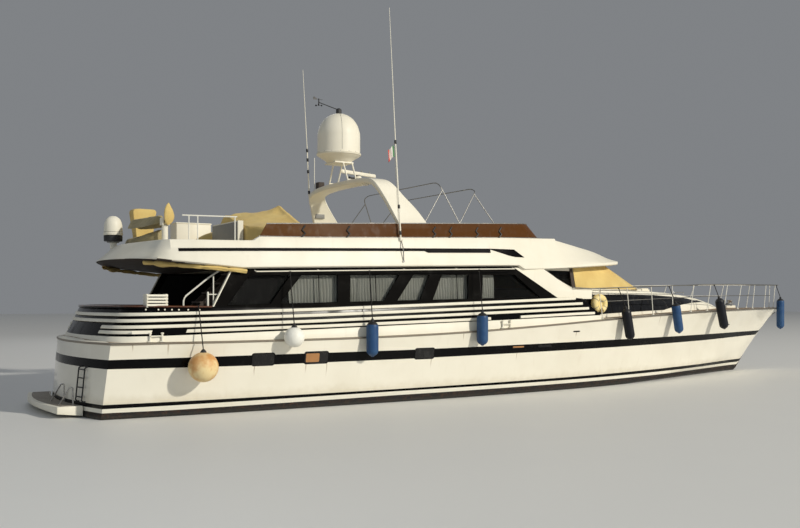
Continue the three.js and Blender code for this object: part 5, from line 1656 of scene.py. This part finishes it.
def curtains():
    drops = [(4.32, 9.6), (9.9, 10.4)]
    panels = []
    for start, end in drops:
        rings = []
        for x in spread(start, end, round((end - start) / 0.011)):
            fold = 0.015 * math.sin(x * 2 * math.pi / 0.083 + 0.9 * math.sin(x * 3.1))
            foot = 2.53 + 0.0205 * (x - 4)
            rings.append(
                [
                    on_side(
                        x + 0.008 * math.sin(9 * x + 6 * t), 3.29 - (3.29 - foot) * t,
                        -0.14 + fold * (0.45 + 0.55 * t)
                    )
                    for t in spread(0, 1, 8)
                ]
            )
        panels.append(applied(skin("curtain", rings), "SOLIDIFY", thickness=0.002, offset=0))
    hung = joined("curtain_drops", *panels)
    track = tubes("curtain_track", [[on_side(x, 3.3, -0.14) for x in spread(4.3, 10.4, 12)]], 0.012, 8)
    port, port_track = mirrored(hung, "port_curtain_drops"), mirrored(track, "port_curtain_track")
    for cloth, bar, side in ((hung, track, "starboard"), (port, port_track, "port")):
        fit(cloth, "cloth", CURTAIN, stands_for="curtains_" + side)
        fit(bar, "dark", DARK_TRIM_AND_SHADE)


# Coachroof and wheelhouse
def coachroof_glazing():
    def place(x, share, out):
        spots = []
        for row in COACHROOF:
            side, foot = list(zip((0, GLAZING_FOOT, GLAZING_HEAD, 1), row[1:5])), deck_edge(row[0])
            spots.append((row[0], line(side, share), foot + share * (row[5] - foot)))
        return (x, -line(spots, x, 1) - out, line(spots, x, 2))

    rings = []
    for x in spread(13.98, 21.2, 70):
        low = 0.16 + 0.68 * min(0.97, max(0, (x - 18) / 3.2))
        shares = [max(low, s) for s in (0, GLAZING_FOOT, 0.5, GLAZING_HEAD, 0.86)]
        rings.append([place(x, s, 0.01) for s in shares] + [place(x, s, -0.02) for s in reversed(shares)])
    both(skin("roof_glazing", rings, closed=True, ends=True), "roof_glazing", "glass", DARK_GLASS)
    grips = []
    # columns: x, half breadth and height of the grip's aft foot
    for x, y, z in ((16.9, 1.5, 2.9), (19.4, 1.0, 2.8)):
        fore = (x + 0.5, -y + 0.04)
        bend = rounded([(x, -y, z), (x, -y, z + 0.06), (*fore, z + 0.06), (*fore, z)], 0.04)
        grips.append(tubes("grip", [bend], 0.012, 8))
    both(joined("roof_grips", *grips), "roof_grips", "steel", STEEL)
    pane = block("hatch_pane", (18.36, 18.84), (-0.24, 0.24), (2.99, 3.006), 0.004)
    fit(pane, "glass", DARK_GLASS, body="foredeck_hatch")


def wheelhouse_run(t, out, start):
    """The wheelhouse's plan at a share of its height, from a station round the front to the other side."""
    rows = [row for row in WHEELHOUSE if row[0] >= start]
    starboard = [Vector((x - back * t, -(foot + (head - foot) * t))) for x, foot, head, back in rows]
    grown = []
    for i, p in enumerate(starboard):
        a, b = starboard[max(0, i - 1)], starboard[i + 1] if i + 1 < len(starboard) else Vector((p.x, 1))
        run = (b - a).normalized()
        grown.append((p.x - run.y * -out, p.y - run.x * out))
    grown[-1] = (starboard[-1].x + out, 0)
    return grown + [(x, -y) for x, y in reversed(grown[:-1])]


def window_posts():
    """Dark posts between the wheelhouse's side windows and the cover."""
    rings = []
    for t in spread(0, 1, 8):
        z = 2.95 + 0.62 * t
        (x0, y0), (x1, y1) = wheelhouse_run((z - 2.945) / 0.75, 0.006, 13)[:2]
        aft, fore = [(x0 + (x1 - x0) * k, y0 + (y1 - y0) * k, z) for k in (0.8, 0.985)]
        rings.append([aft, fore, (fore[0], fore[1] + 0.03, z), (aft[0], aft[1] + 0.03, z)])
    both(skin("window_post", rings, closed=True, ends=True), "window_post", "dark", DARK_TRIM_AND_SHADE)


def windscreen_cover():
    """The tan cover round the wheelhouse's glass, pulled tight with faint creases."""
    rings = []
    for t in spread(0, 1, 14):
        z = 2.945 + 0.75 * t
        run = wheelhouse_run(t, 0.015, 13.6)
        ring = []
        for i, p in enumerate(resampled(rounded([(x, y, 0) for x, y in run], 0.1, 6), 150)):
            crease = 0.0035 * math.sin(i * 0.9 + 3 * t) * math.sin(i * 0.23) + 0.003 * math.sin(
                14 * t + i * 0.35
            )
            away = Vector((p.x - 14.5, p.y)).normalized() * crease
            ring.append((p.x + away.x, p.y + away.y, min(z, line(FLYBRIDGE, p.x, 2) - 0.006)))
        rings.append(ring)
    cloth = applied(skin("windscreen_canvas", rings), "SOLIDIFY", thickness=0.004, offset=0)
    fit(cloth, "canvas", CANVAS, stands_for="windscreen_cover", smooth=60)


# Draped covers
def resampled(points, count):
    """A run of points spaced evenly along its length."""
    points = [Vector(p) for p in points]
    lengths = [0.0]
    for a, b in zip(points, points[1:]):
        lengths.append(lengths[-1] + (b - a).length)
    run, i = [], 0
    for s in spread(0, lengths[-1], count):
        while i < len(points) - 2 and lengths[i + 1] < s:
            i += 1
        run.append(
            points[i].lerp(points[i + 1], min(1, (s - lengths[i]) / max(1e-9, lengths[i + 1] - lengths[i])))
        )
    return run


def draped(name, arches, ease=0.1, around=56, along=48, folds=0.03, fold_size=2.2):
    """Canvas over a form given by arches of points from foot to foot, slack between its high points."""
    tables = list(zip(*[resampled(rounded(arch, ease, 5), around) for arch in arches]))
    columns = [[(i, *p) for i, p in enumerate(column)] for column in tables]
    rings = []
    for s in spread(0, len(arches) - 1, along):
        ring = [Vector([sample(column, s, c) for c in (1, 2, 3)]) for column in columns]
        middle = sum(ring, Vector()) / len(ring)
        for i, p in enumerate(ring):
            away = (p - middle).normalized()
            ridge = 1 - abs(noise.noise(Vector((p.x * 1.6, p.y * 1.1, p.z * 0.7)) * fold_size))
            soft = noise.noise(p * fold_size * 3)
            ring[i] = p - away * folds * (1 - ridge ** 3 + 0.35 * soft)
        rings.append(ring)
    panels = []
    for rim in (rings[0], rings[-1]):
        foot = [rim[0].lerp(rim[-1], i / around) for i in range(around + 1)]
        panels.append([[q.lerp(p, k) for p, q in zip(rim, foot)] for k in (0.8, 0.6, 0.4, 0.2, 0.02)])
    cloth = skin(name, panels[0][::-1] + rings + panels[1])
    applied(cloth, "SUBSURF", levels=1, render_levels=1)
    return applied(cloth, "SOLIDIFY", thickness=0.003, offset=0)


def seat_covers():
    """The cover over the flybridge's seats, and the low one aft of it."""
    # columns: x, half breadth, height of the side, y of the ridge, height of the ridge
    stations = [
        (3.9, 1.3, 4.45, 0.45, 4.91), (4.3, 2.3, 4.35, 0.25, 4.97), (5.02, 2.34, 4.31, -0.15, 5.08),
        (5.2, 2.35, 4.3, -0.2, 5.17), (5.34, 2.34, 4.27, -0.2, 5.06), (5.6, 2.3, 4.2, -0.2, 4.83),
        (6.1, 2.1, 4.05, -0.1, 4.5), (6.7, 1.7, 3.85, 0, 4.2),
    ]
    arches = []
    for x, h, side, ridge, top in stations:
        sag = [(x, ridge + (end - ridge) * 0.5, (top + side) / 2 - 0.07) for end in (-h, h)]
        arches.append(
            [(x, -h, 3.58), (x, -h, side), sag[0], (x, ridge, top), sag[1], (x, h, side), (x, h, 3.58)]
        )
    main = draped("seat_cover", arches, 0.04, 72, 66, folds=0.03)
    main = fit(main, "canvas", CANVAS, stands_for="settee_cover", smooth=70)
    arches = [
        [
            (x, 0.87, 3.5), (x, 0.87, top - 0.15), (x, 1.1, top), (x, 1.65, top), (x, 1.88, top - 0.15),
            (x, 1.88, 3.5)
        ]
        for x, top in ((3.25, 3.9), (3.5, 4.3), (3.93, 4.5))
    ]
    low = fit(draped("seat_cover_low", arches, 0.12, 40, 20, 0.025), "canvas", CANVAS, smooth=70)


def tender():
    """The tender on its chocks, under its cover and its hood."""
    # columns: y from the tender's middle, half breadth, height of the keel over 3.6
    stations = [
        (-1.15, 0.09, 0.33), (-0.8, 0.3, 0.29), (-0.2, 0.43, 0.24), (0.6, 0.43, 0.24), (1.15, 0.35, 0.25)
    ]
    # columns: share of the half breadth, height over the keel
    shape = [(-0.5, 0), (-1, 0.19), (-0.8, 0.4), (0, 0.47), (0.8, 0.4), (1, 0.19), (0.5, 0)]
    arches = [
        [(1.98 + half * u, 0.85 + y, 3.6 + keel + lift) for u, lift in shape] for y, half, keel in stations
    ]
    boat = draped("tender_cover", arches, 0.1, 44, 40, 0.018, 3)
    arches = [
        [
            (2.08 - 0.2, y, 4.15), (2.08 - 0.335, y, 5.05), (2.08, y, 5.07 - sag), (2.08 + 0.335, y, 5.05),
            (2.08 + 0.2, y, 4.15)
        ]
        for y, sag in ((1.55, 0.03), (1.75, 0), (1.95, 0.03))
    ]
    hood = draped("tender_hood", arches, 0.1, 40, 16, 0.02, 3)
    chocks = [block("chock", (1.68, 2.28), (y - 0.04, y + 0.04), (3.56, 3.86), 0.01) for y in (0.35, 1.35)]
    fit(joined("tender_chocks", *chocks), "dark", GREY)
    # the tender's cover takes the darker tan canvas, painted shade on its aft side
    boat = fit(boat, "canvas", SHADED_TAN_CANVAS, stands_for="covered_tender", smooth=70)
    hood = fit(hood, "canvas", CANVAS, smooth=70)


def crane():
    """The boom under its leaf-shaped cover, and the winch under its own."""
    swing = Matrix.Translation(CRANE) @ Matrix.Rotation(math.radians(CRANE_TURN), 4, "Z")
    turn = swing @ Matrix.Rotation(math.radians(BOOM_DROOP), 4, "Y")
    arches = []
    # columns: how far out along the boom, half breadth low down and high up, height low down and high up
    for run, low_half, high_half, low, high in (
        (0.18, 0.06, 0.04, -0.045, 0.05), (0.3, 0.235, 0.06, -0.105, 0.15), (0.6, 0.24, 0.06, -0.125, 0.13),
        (1.0, 0.23, 0.055, -0.145, 0.125), (1.85, 0.17, 0.045, -0.15, 0.095), (2.0, 0.06, 0.03, -0.06, 0.05),
    ):
        shape = ((low_half, low), (high_half, high), (0, high + 0.015), (-high_half, high), (-low_half, low))
        arches.append([turn @ Vector((run, u, v)) for u, v in shape])
    cloth = draped("boom_cover", arches, 0.05, 40, 50, 0.02, 4)
    # the boom cover takes the darker tan canvas, painted shade on its aft side
    fit(cloth, "canvas", SHADED_TAN_CANVAS, body="crane_boom", stands_for="crane_boom", smooth=70)
    beam = rods("boom", [((0, 0, 0), (1.95, 0, 0.01))], 0.042, 16)
    pin = turned(
        "boom_pin", [(0, -0.058), (0.024, -0.058), (0.024, 0.058), (0, 0.058)], (0, 0, 0), 16, (0, 1, 0)
    )
    whole = joined("boom", beam, pin)
    whole.data.transform(turn)
    fit(whole, "steel", STEEL, body="crane_boom")
    rings = []
    for t in spread(0, 1, 18):
        wide = 0.14 * math.sin(math.pi * min(1, t * 1.02)) ** 0.6 * (1.1 - 0.45 * t) + 0.004
        deep = 0.045 * math.sin(math.pi * t) ** 0.5 + 0.003
        lean = 0.03 * t + 0.02 * math.sin(5 * t)
        ring = [
            Vector((-0.135 + deep * math.sin(a), -0.02 - lean + wide * math.cos(a), -0.1 + 0.54 * t))
            for a in spread(0, 2 * math.pi, 28)
        ]
        rings.append([swing @ (p + Vector((0.008 * noise.noise(p * 14), 0, 0))) for p in ring])
    hood = applied(skin("winch_cover", rings), "SOLIDIFY", thickness=0.003, offset=0)
    fit(hood, "canvas", CANVAS, body="crane_head", smooth=70)


def awnings():
    """The side curtains rolled up under the overhang and lashed."""
    path = resampled(
        rounded(
            [
                (1.1, -1.95, 3.47), (1.5, -2.42, 3.42), (2.2, -2.8, 3.362), (2.7, -2.93, 3.318),
                (3.2, -2.965, 3.275)
            ],
            0.4
        ),
        46
    )
    rings = []
    for i, p in enumerate(path):
        ahead = (path[min(i + 1, 46)] - path[max(i - 1, 0)]).normalized()
        side = ahead.cross(Vector((0, 0, 1))).normalized()
        up = side.cross(ahead)
        pinch = 1 - 0.3 * math.exp(-((i % 11 - 5) / 0.8) ** 2) + 0.5 * math.exp(-((i - 9) / 3) ** 2)
        rings.append(
            [
                p + (side * math.cos(a) + up * math.sin(a)) * (
                    0.056 - 0.0022 * a + 0.005 * math.sin(3 * a + i * 0.7)
                ) * pinch
                for a in spread(0, 5 * math.pi, 44)
            ]
        )
    roll = applied(skin("awning_roll", rings), "SOLIDIFY", thickness=0.002, offset=0)
    port = mirrored(roll, "awning_roll_port")
    for piece, node in ((roll, ("awning",)), (port, ())):
        fit(piece, "canvas", CANVAS, stands_for=node, smooth=60)


# Cockpit
def cushion(name, x, y, z):
    """A stuffed cushion: a block subdivided, eased and smoothed."""
    piece = block(name, x, y, z, 0)
    in_edit(piece, lambda: bpy.ops.mesh.subdivide(number_cuts=5))
    bevelled(piece, 0.03, 3)
    applied(piece, "SUBSURF", levels=1, render_levels=1)
    fit(piece, "cloth", UPHOLSTERY, smooth=80)


def cockpit():
    base = block("sofa_base", (0.66, 1.24), (-1.69, 1.69), (1.72, 1.98), 0.02)
    back = block("sofa_back", (0.57, 0.66), (-1.69, 1.69), (1.75, 2.36), 0.02)
    fit(joined("sofa_frame", base, back), "gelcoat", WHITE, stands_for="cockpit_sofa")
    for i, y in enumerate((-1.68, -0.55, 0.58)):
        cushion(f"seat_cushion_{i}", (0.78, 1.25), (y, y + 1.1), (1.98, 2.14))
        cushion(f"back_cushion_{i}", (0.66, 0.78), (y, y + 1.1), (2.0, 2.4))


# Swim platform
def platform_edge(inset, steps=28):
    half, corner, depth = 1.9 - inset, -0.78 + inset, 0.22
    outer = [(corner - depth * (1 - t * t), half * t) for t in spread(-1, 1, steps)]
    inner = [
        (-TRANSOM_BULGE * (1 - (y / TRANSOM_HALF) ** 2) - 0.006 - inset * 0.3, y)
        for y in spread(half, -half, steps)
    ]
    return outer + inner


def swim_platform():
    rim = plate("platform", platform_edge(0), "z", 0.04, 0.262, 0.012)
    for vertex in rim.data.vertices:
        if vertex.co.z < 0.15:
            vertex.co.z += 0.13 * max(0, -0.38 - vertex.co.x) / 0.82
    finished(rim, WHITE)
    slats = finished(plate("platform_slats", platform_edge(0.09), "z", 0.25, 0.27), TEAK_SLAT)
    hoops = [
        rounded(
            [(-0.68, y + 0.12, 0.255), (-0.47, y, 0.66), (-0.41, y - 0.02, 0.66), (-0.41, y - 0.06, 0.255)],
            0.09
        )
        for y in (-1.66, -0.68)
    ]
    rails = finished(tubes("platform_hoops", hoops, 0.016, 10), STEEL)
    fit(joined("swim_platform_unit", rim, slats, rails), "gelcoat", stands_for="swim_platform")


# Hull windows
def hull_patch(name, x0, x1, z0, z1, out=0.006, corner=0.05):
    rings = []
    steps = (0, 0.1, 0.3, 0.6, 1)
    for x in [x0 + corner * k for k in steps] + [x1 - corner * k for k in reversed(steps)]:
        d = max(0.0, 1 - min(x - x0, x1 - x) / corner)
        cut = min(corner, (z1 - z0) / 2 - 0.002) * (1 - math.sqrt(max(0, 1 - d * d)))
        heights = spread(z0 + cut, z1 - cut, 4)
        rings.append(
            [(x, -hull_half(x, z) - out, z) for z in heights]
            + [(x, -hull_half(x, z) + 0.02, z) for z in reversed(heights)]
        )
    return skin(name, rings, closed=True, ends=True)


def hull_windows():
    """The small panes in the topsides, frames round the aft five and blinds over two."""
    # columns: aft end, forward end, foot, head
    panes = [
        (3.33, 3.87, 1.09, 1.36), (4.65, 5.26, 1.09, 1.36), (7.74, 8.31, 1.1, 1.36),
        (10.9, 11.35, 1.28, 1.35), (11.85, 12.36, 1.28, 1.35), (13.16, 13.44, 1.68, 1.72),
        (21.6, 22.1, 1.72, 1.745)
    ]
    glass = [hull_patch("hull_pane", *p) for p in panes]
    both(joined("hull_panes", *glass), "hull_panes", "glass", DARK_GLASS)
    frames = [
        hull_patch("pane_frame", aft - 0.02, fore + 0.02, foot - 0.02, head + 0.02, 0.003, 0.06)
        for aft, fore, foot, head in panes[:5]
    ]
    both(joined("pane_frames", *frames), "pane_frames", "gloss_black", BLACK)
    blinds = [
        hull_patch("blind", 4.68, 5.03, 1.12, 1.33, 0.009, 0.03),
        hull_patch("blind", 10.93, 11.32, 1.295, 1.335, 0.009, 0.015)
    ]
    both(joined("hull_blinds", *blinds), "hull_blinds", "cloth", BLIND)


# Flybridge fittings
def screen_run(set_in, front, end, height):
    run = plan(
        lambda x: line(FLYBRIDGE, x, 3) - set_in, lambda y: end - 0.3 * (y / 2.4) ** 2, 0.9, front, 1, 24
    )
    return [(x, y, height(x)) for x, y in run]


def screen_rails():
    head = screen_run(0.12, 3.78, 12.3, lambda x: 4.412 + 0.043 * (x - 3.56))
    foot = screen_run(0.068, 3.56, 12.78, lambda x: line(FLYBRIDGE, x, 4) + 0.012)
    loops = [run + [(x, -y, z) for x, y, z in reversed(run[:-1])] for run in (head, foot)]
    fit(tubes("screen_rails", loops, 0.013, 8), "steel", STEEL)
    braces = []
    for x in (4.69, 5.9, 8.45, 8.98, 9.85, 10.65):
        y, z = -(line(FLYBRIDGE, x, 3) - 0.045), line(FLYBRIDGE, x, 4)
        braces.append(
            [
                (x - 0.05, y, z), (x + 0.06, y + 0.02, z + 0.1), (x - 0.02, y + 0.03, z + 0.18),
                (x + 0.07, y + 0.05, z + 0.29)
            ]
        )
    both(tubes("screen_braces", braces, 0.02, 6), "screen_braces", "dark", RUBBER)


def bimini():
    def hoop(foot, head, height):
        run = [(foot, -2.44, 4.36), (head, -2.15, height), (head + 0.02, -1.9, height + 0.09)]
        return rounded(run + [(x, -y, z) for x, y, z in reversed(run)], 0.14, 5)

    # columns: x, half breadth and height of the head of each short upright
    feet = [(8.25, 2.37, 4.33), (9, 2.41, 4.35), (9.7, 2.44, 4.37), (11, 2.44, 4.4)]
    runs = [hoop(9.75, 9.08, 5.74), hoop(9.35, 10.28, 5.64)]
    for side in (-1, 1):
        runs += [
            [(8.25, side * 2.37, 4.33), (9.148, side * 2.179, 5.6)],
            [(11, side * 2.44, 4.39), (10.215, side * 2.17, 5.55)]
        ]
        runs.append([(x, side * y, z) for x, y, z in feet])
        runs += [[(x, side * y, line(FLYBRIDGE, x, 2) + 0.122), (x, side * y, z)] for x, y, z in feet]
    fit(tubes("bimini_tubes", runs, 0.0125, 10), "steel", TUBE, stands_for="bimini_frame")


# Fenders and lanyards
# columns: name, x, height of the middle, radius, half length of the straight part, how far the foot swings
# forward, finish
FENDERS = [
    ("orange_ball", 2.065, 1.12, 0.335, 0, 0, ORANGE),
    ("white_ball", 4.23, 1.743, 0.24, 0, 0, BALL_WHITE),
    ("long_one", 6.35, 1.66, 0.15, 0.28, 0, BLUE),
    ("long_two", 9.68, 1.845, 0.15, 0.28, 0, BLUE),
    ("navy_one", 15.32, 1.885, 0.143, 0.33, 0.2, NAVY),
    ("long_three", 17.88, 2.03, 0.14, 0.34, 0.18, BLUE),
    ("navy_two", 20.65, 2.145, 0.15, 0.385, 0.28, NAVY),
    ("bow", 25.975, 2.075, 0.14, 0.435, 0, BLUE),
]


def fender_side(x, z):
    chine_y, chine_z, edge_y, edge_z = (sample(HULL, x, c) for c in (1, 2, 3, 4))
    return chine_y + (edge_y - chine_y) * min(1, (z - chine_z) / (edge_z - chine_z))


def fender(name, x, z, radius, straight, swing, skin_finish, tie):
    """One fender with its black ends and its lanyard, tied at the points given."""
    y = -(fender_side(x - swing / 2, z + straight + radius * 0.3) + radius + 0.009)
    arc = [(radius * math.cos(a), radius * math.sin(a) + straight) for a in spread(0, math.pi / 2, 10)]
    neck = [
        (0.036, straight + radius * 0.98), (0.03, straight + radius + 0.045),
        (0.016, straight + radius + 0.06), (0, straight + radius + 0.06)
    ]
    upper = [p for p in arc if p[0] > 0.04]
    lower = [(r, -h) for r, h in reversed(upper)]
    low = -straight - radius
    foot = [(0, low - 0.02), (0.03, low - 0.015)] if straight else [(0, low)]
    body = finished(turned("fender", foot + lower + upper + neck, (0, 0, 0), 40), skin_finish)
    if straight:
        tip = straight + radius
        cone = [
            (radius * 1.004 * math.cos(a), radius * 1.004 * math.sin(a) + straight)
            for a in spread(0.45, 1.3, 6)
        ]
        cap = [(0, straight)] + cone + [(0.038, tip + 0.01), (0.034, tip + 0.06), (0, tip + 0.065)]
        end = turned("fender_cap", cap, (0, 0, 0), 40)
    else:
        collar = [
            (0, radius * 0.9), (0.075, radius * 0.955), (0.06, radius + 0.02), (0.04, radius + 0.05),
            (0.02, radius + 0.066), (0, radius + 0.066)
        ]
        end = turned("fender_neck", collar, (0, 0, 0), 24)
    whole = joined("fender_" + name, body, finished(end, RUBBER))
    turn = -math.asin(swing / (2 * (straight + radius)))
    whole.data.transform(Matrix.Translation((x, y, z)) @ Matrix.Rotation(turn, 4, "Y"))
    top = straight + radius + 0.045
    head = (x + top * math.sin(turn), y, z + top * math.cos(turn))
    line_up = finished(tubes("lanyard", [[head, *tie]], 0.013, 8), ROPE)
    knot = turned("knot", [(0, -0.02), (0.02, -0.015), (0.026, 0), (0.02, 0.015), (0, 0.02)], tie[-1], 12)
    return joined("fender_" + name, whole, line_up, finished(knot, ROPE))


def fenders():
    """The grab rails, and every fender tied to the cap, a grab rail or the bow rail."""
    path = [(x, -deck_half(x), line(FLYBRIDGE, x, 2) - 0.075) for x in (3.4, 5, 7.4, 9, 10.9)]
    rail = tubes("grab_rail", [resampled(path, 30)], 0.014, 10)
    brackets = rods("brackets", [((x, y, z), (x, y + 0.11, z + 0.03)) for x, y, z in path], 0.012, 8)
    starboard = joined("grab_rail", rail, brackets)
    made = {}
    for name, x, *shape in FENDERS:
        if name == "orange_ball":
            tie = [
                (x, -deck_half(x) + 0.07, line(CAP, x) + 0.04),
                (x, -deck_half(x) + 0.17, line(CAP, x) + 0.04)
            ]
        elif x < 12:
            tie = [(x, -(deck_half(x) + 0.002), line(FLYBRIDGE, x, 2) - 0.09)]
        else:
            tie = [(x, -line(RAIL, x, 1), line(RAIL, x, 2) - 0.017)]
        made[name] = fender(name, x, *shape, tie)
    port = mirrored(starboard, "grab_rail_port")
    fit(
        joined("grab_rails", finished(starboard, WHITE), finished(port, WHITE)), "gelcoat",
        stands_for="fenders_aft"
    )
    for name, piece in made.items():
        node = () if name in ("white_ball", "long_one", "long_two") else ("fender_" + name,)
        fit(piece, "fender_skin", stands_for=node, smooth=45)


def lifebuoy():
    """A horseshoe buoy in its strap, with pale bands."""
    x, y, z = LIFEBUOY

    def arc(start, end, radius, count):
        turns = spread(math.radians(start), math.radians(end), count)
        return [(x + radius * math.cos(a), y, z + radius * math.sin(a)) for a in turns]

    ring = finished(tubes("lifebuoy", [arc(-68, 248, 0.19, 40)], 0.108, 16), YELLOW)
    bands = [
        finished(tubes("band", [arc(a - 3, a + 3, 0.19, 4)], 0.1105, 16), PALE_ROPE)
        for a in (-30, 35, 145, 210)
    ]
    middle = [(0, -0.05), (0.15, -0.04), (0.15, 0.04), (0, 0.05)]
    bands.append(finished(turned("buoy_middle", middle, LIFEBUOY, 32, (0, 1, 0)), YELLOW))
    strap = finished(tubes("buoy_strap", [[(x, -2.6, 2.73), (x, -2.6, 2.935)]], 0.012, 8), PALE_ROPE)
    fit(joined("lifebuoy_unit", ring, *bands, strap), "buoy_yellow", stands_for="lifebuoy")


set_stage()
dressed_solids()
hull()
moulding()
bulwark_wall()
battens()
capping()
mooring_pockets()
flybridge()
cabinet_shade_face()
coaming_trim()
arch()
arch_fittings()
dome()
small_dome()
mast_stand()
scanner()
wind_gear()
whips()
pennant()
bow_rail()
windlass()
cabin_facings()
wing_fittings()
pane_edges()
curtains()
coachroof_glazing()
window_posts()
windscreen_cover()
seat_covers()
tender()
crane()
awnings()
cockpit()
swim_platform()
hull_windows()
screen_rails()
bimini()
fenders()
lifebuoy()
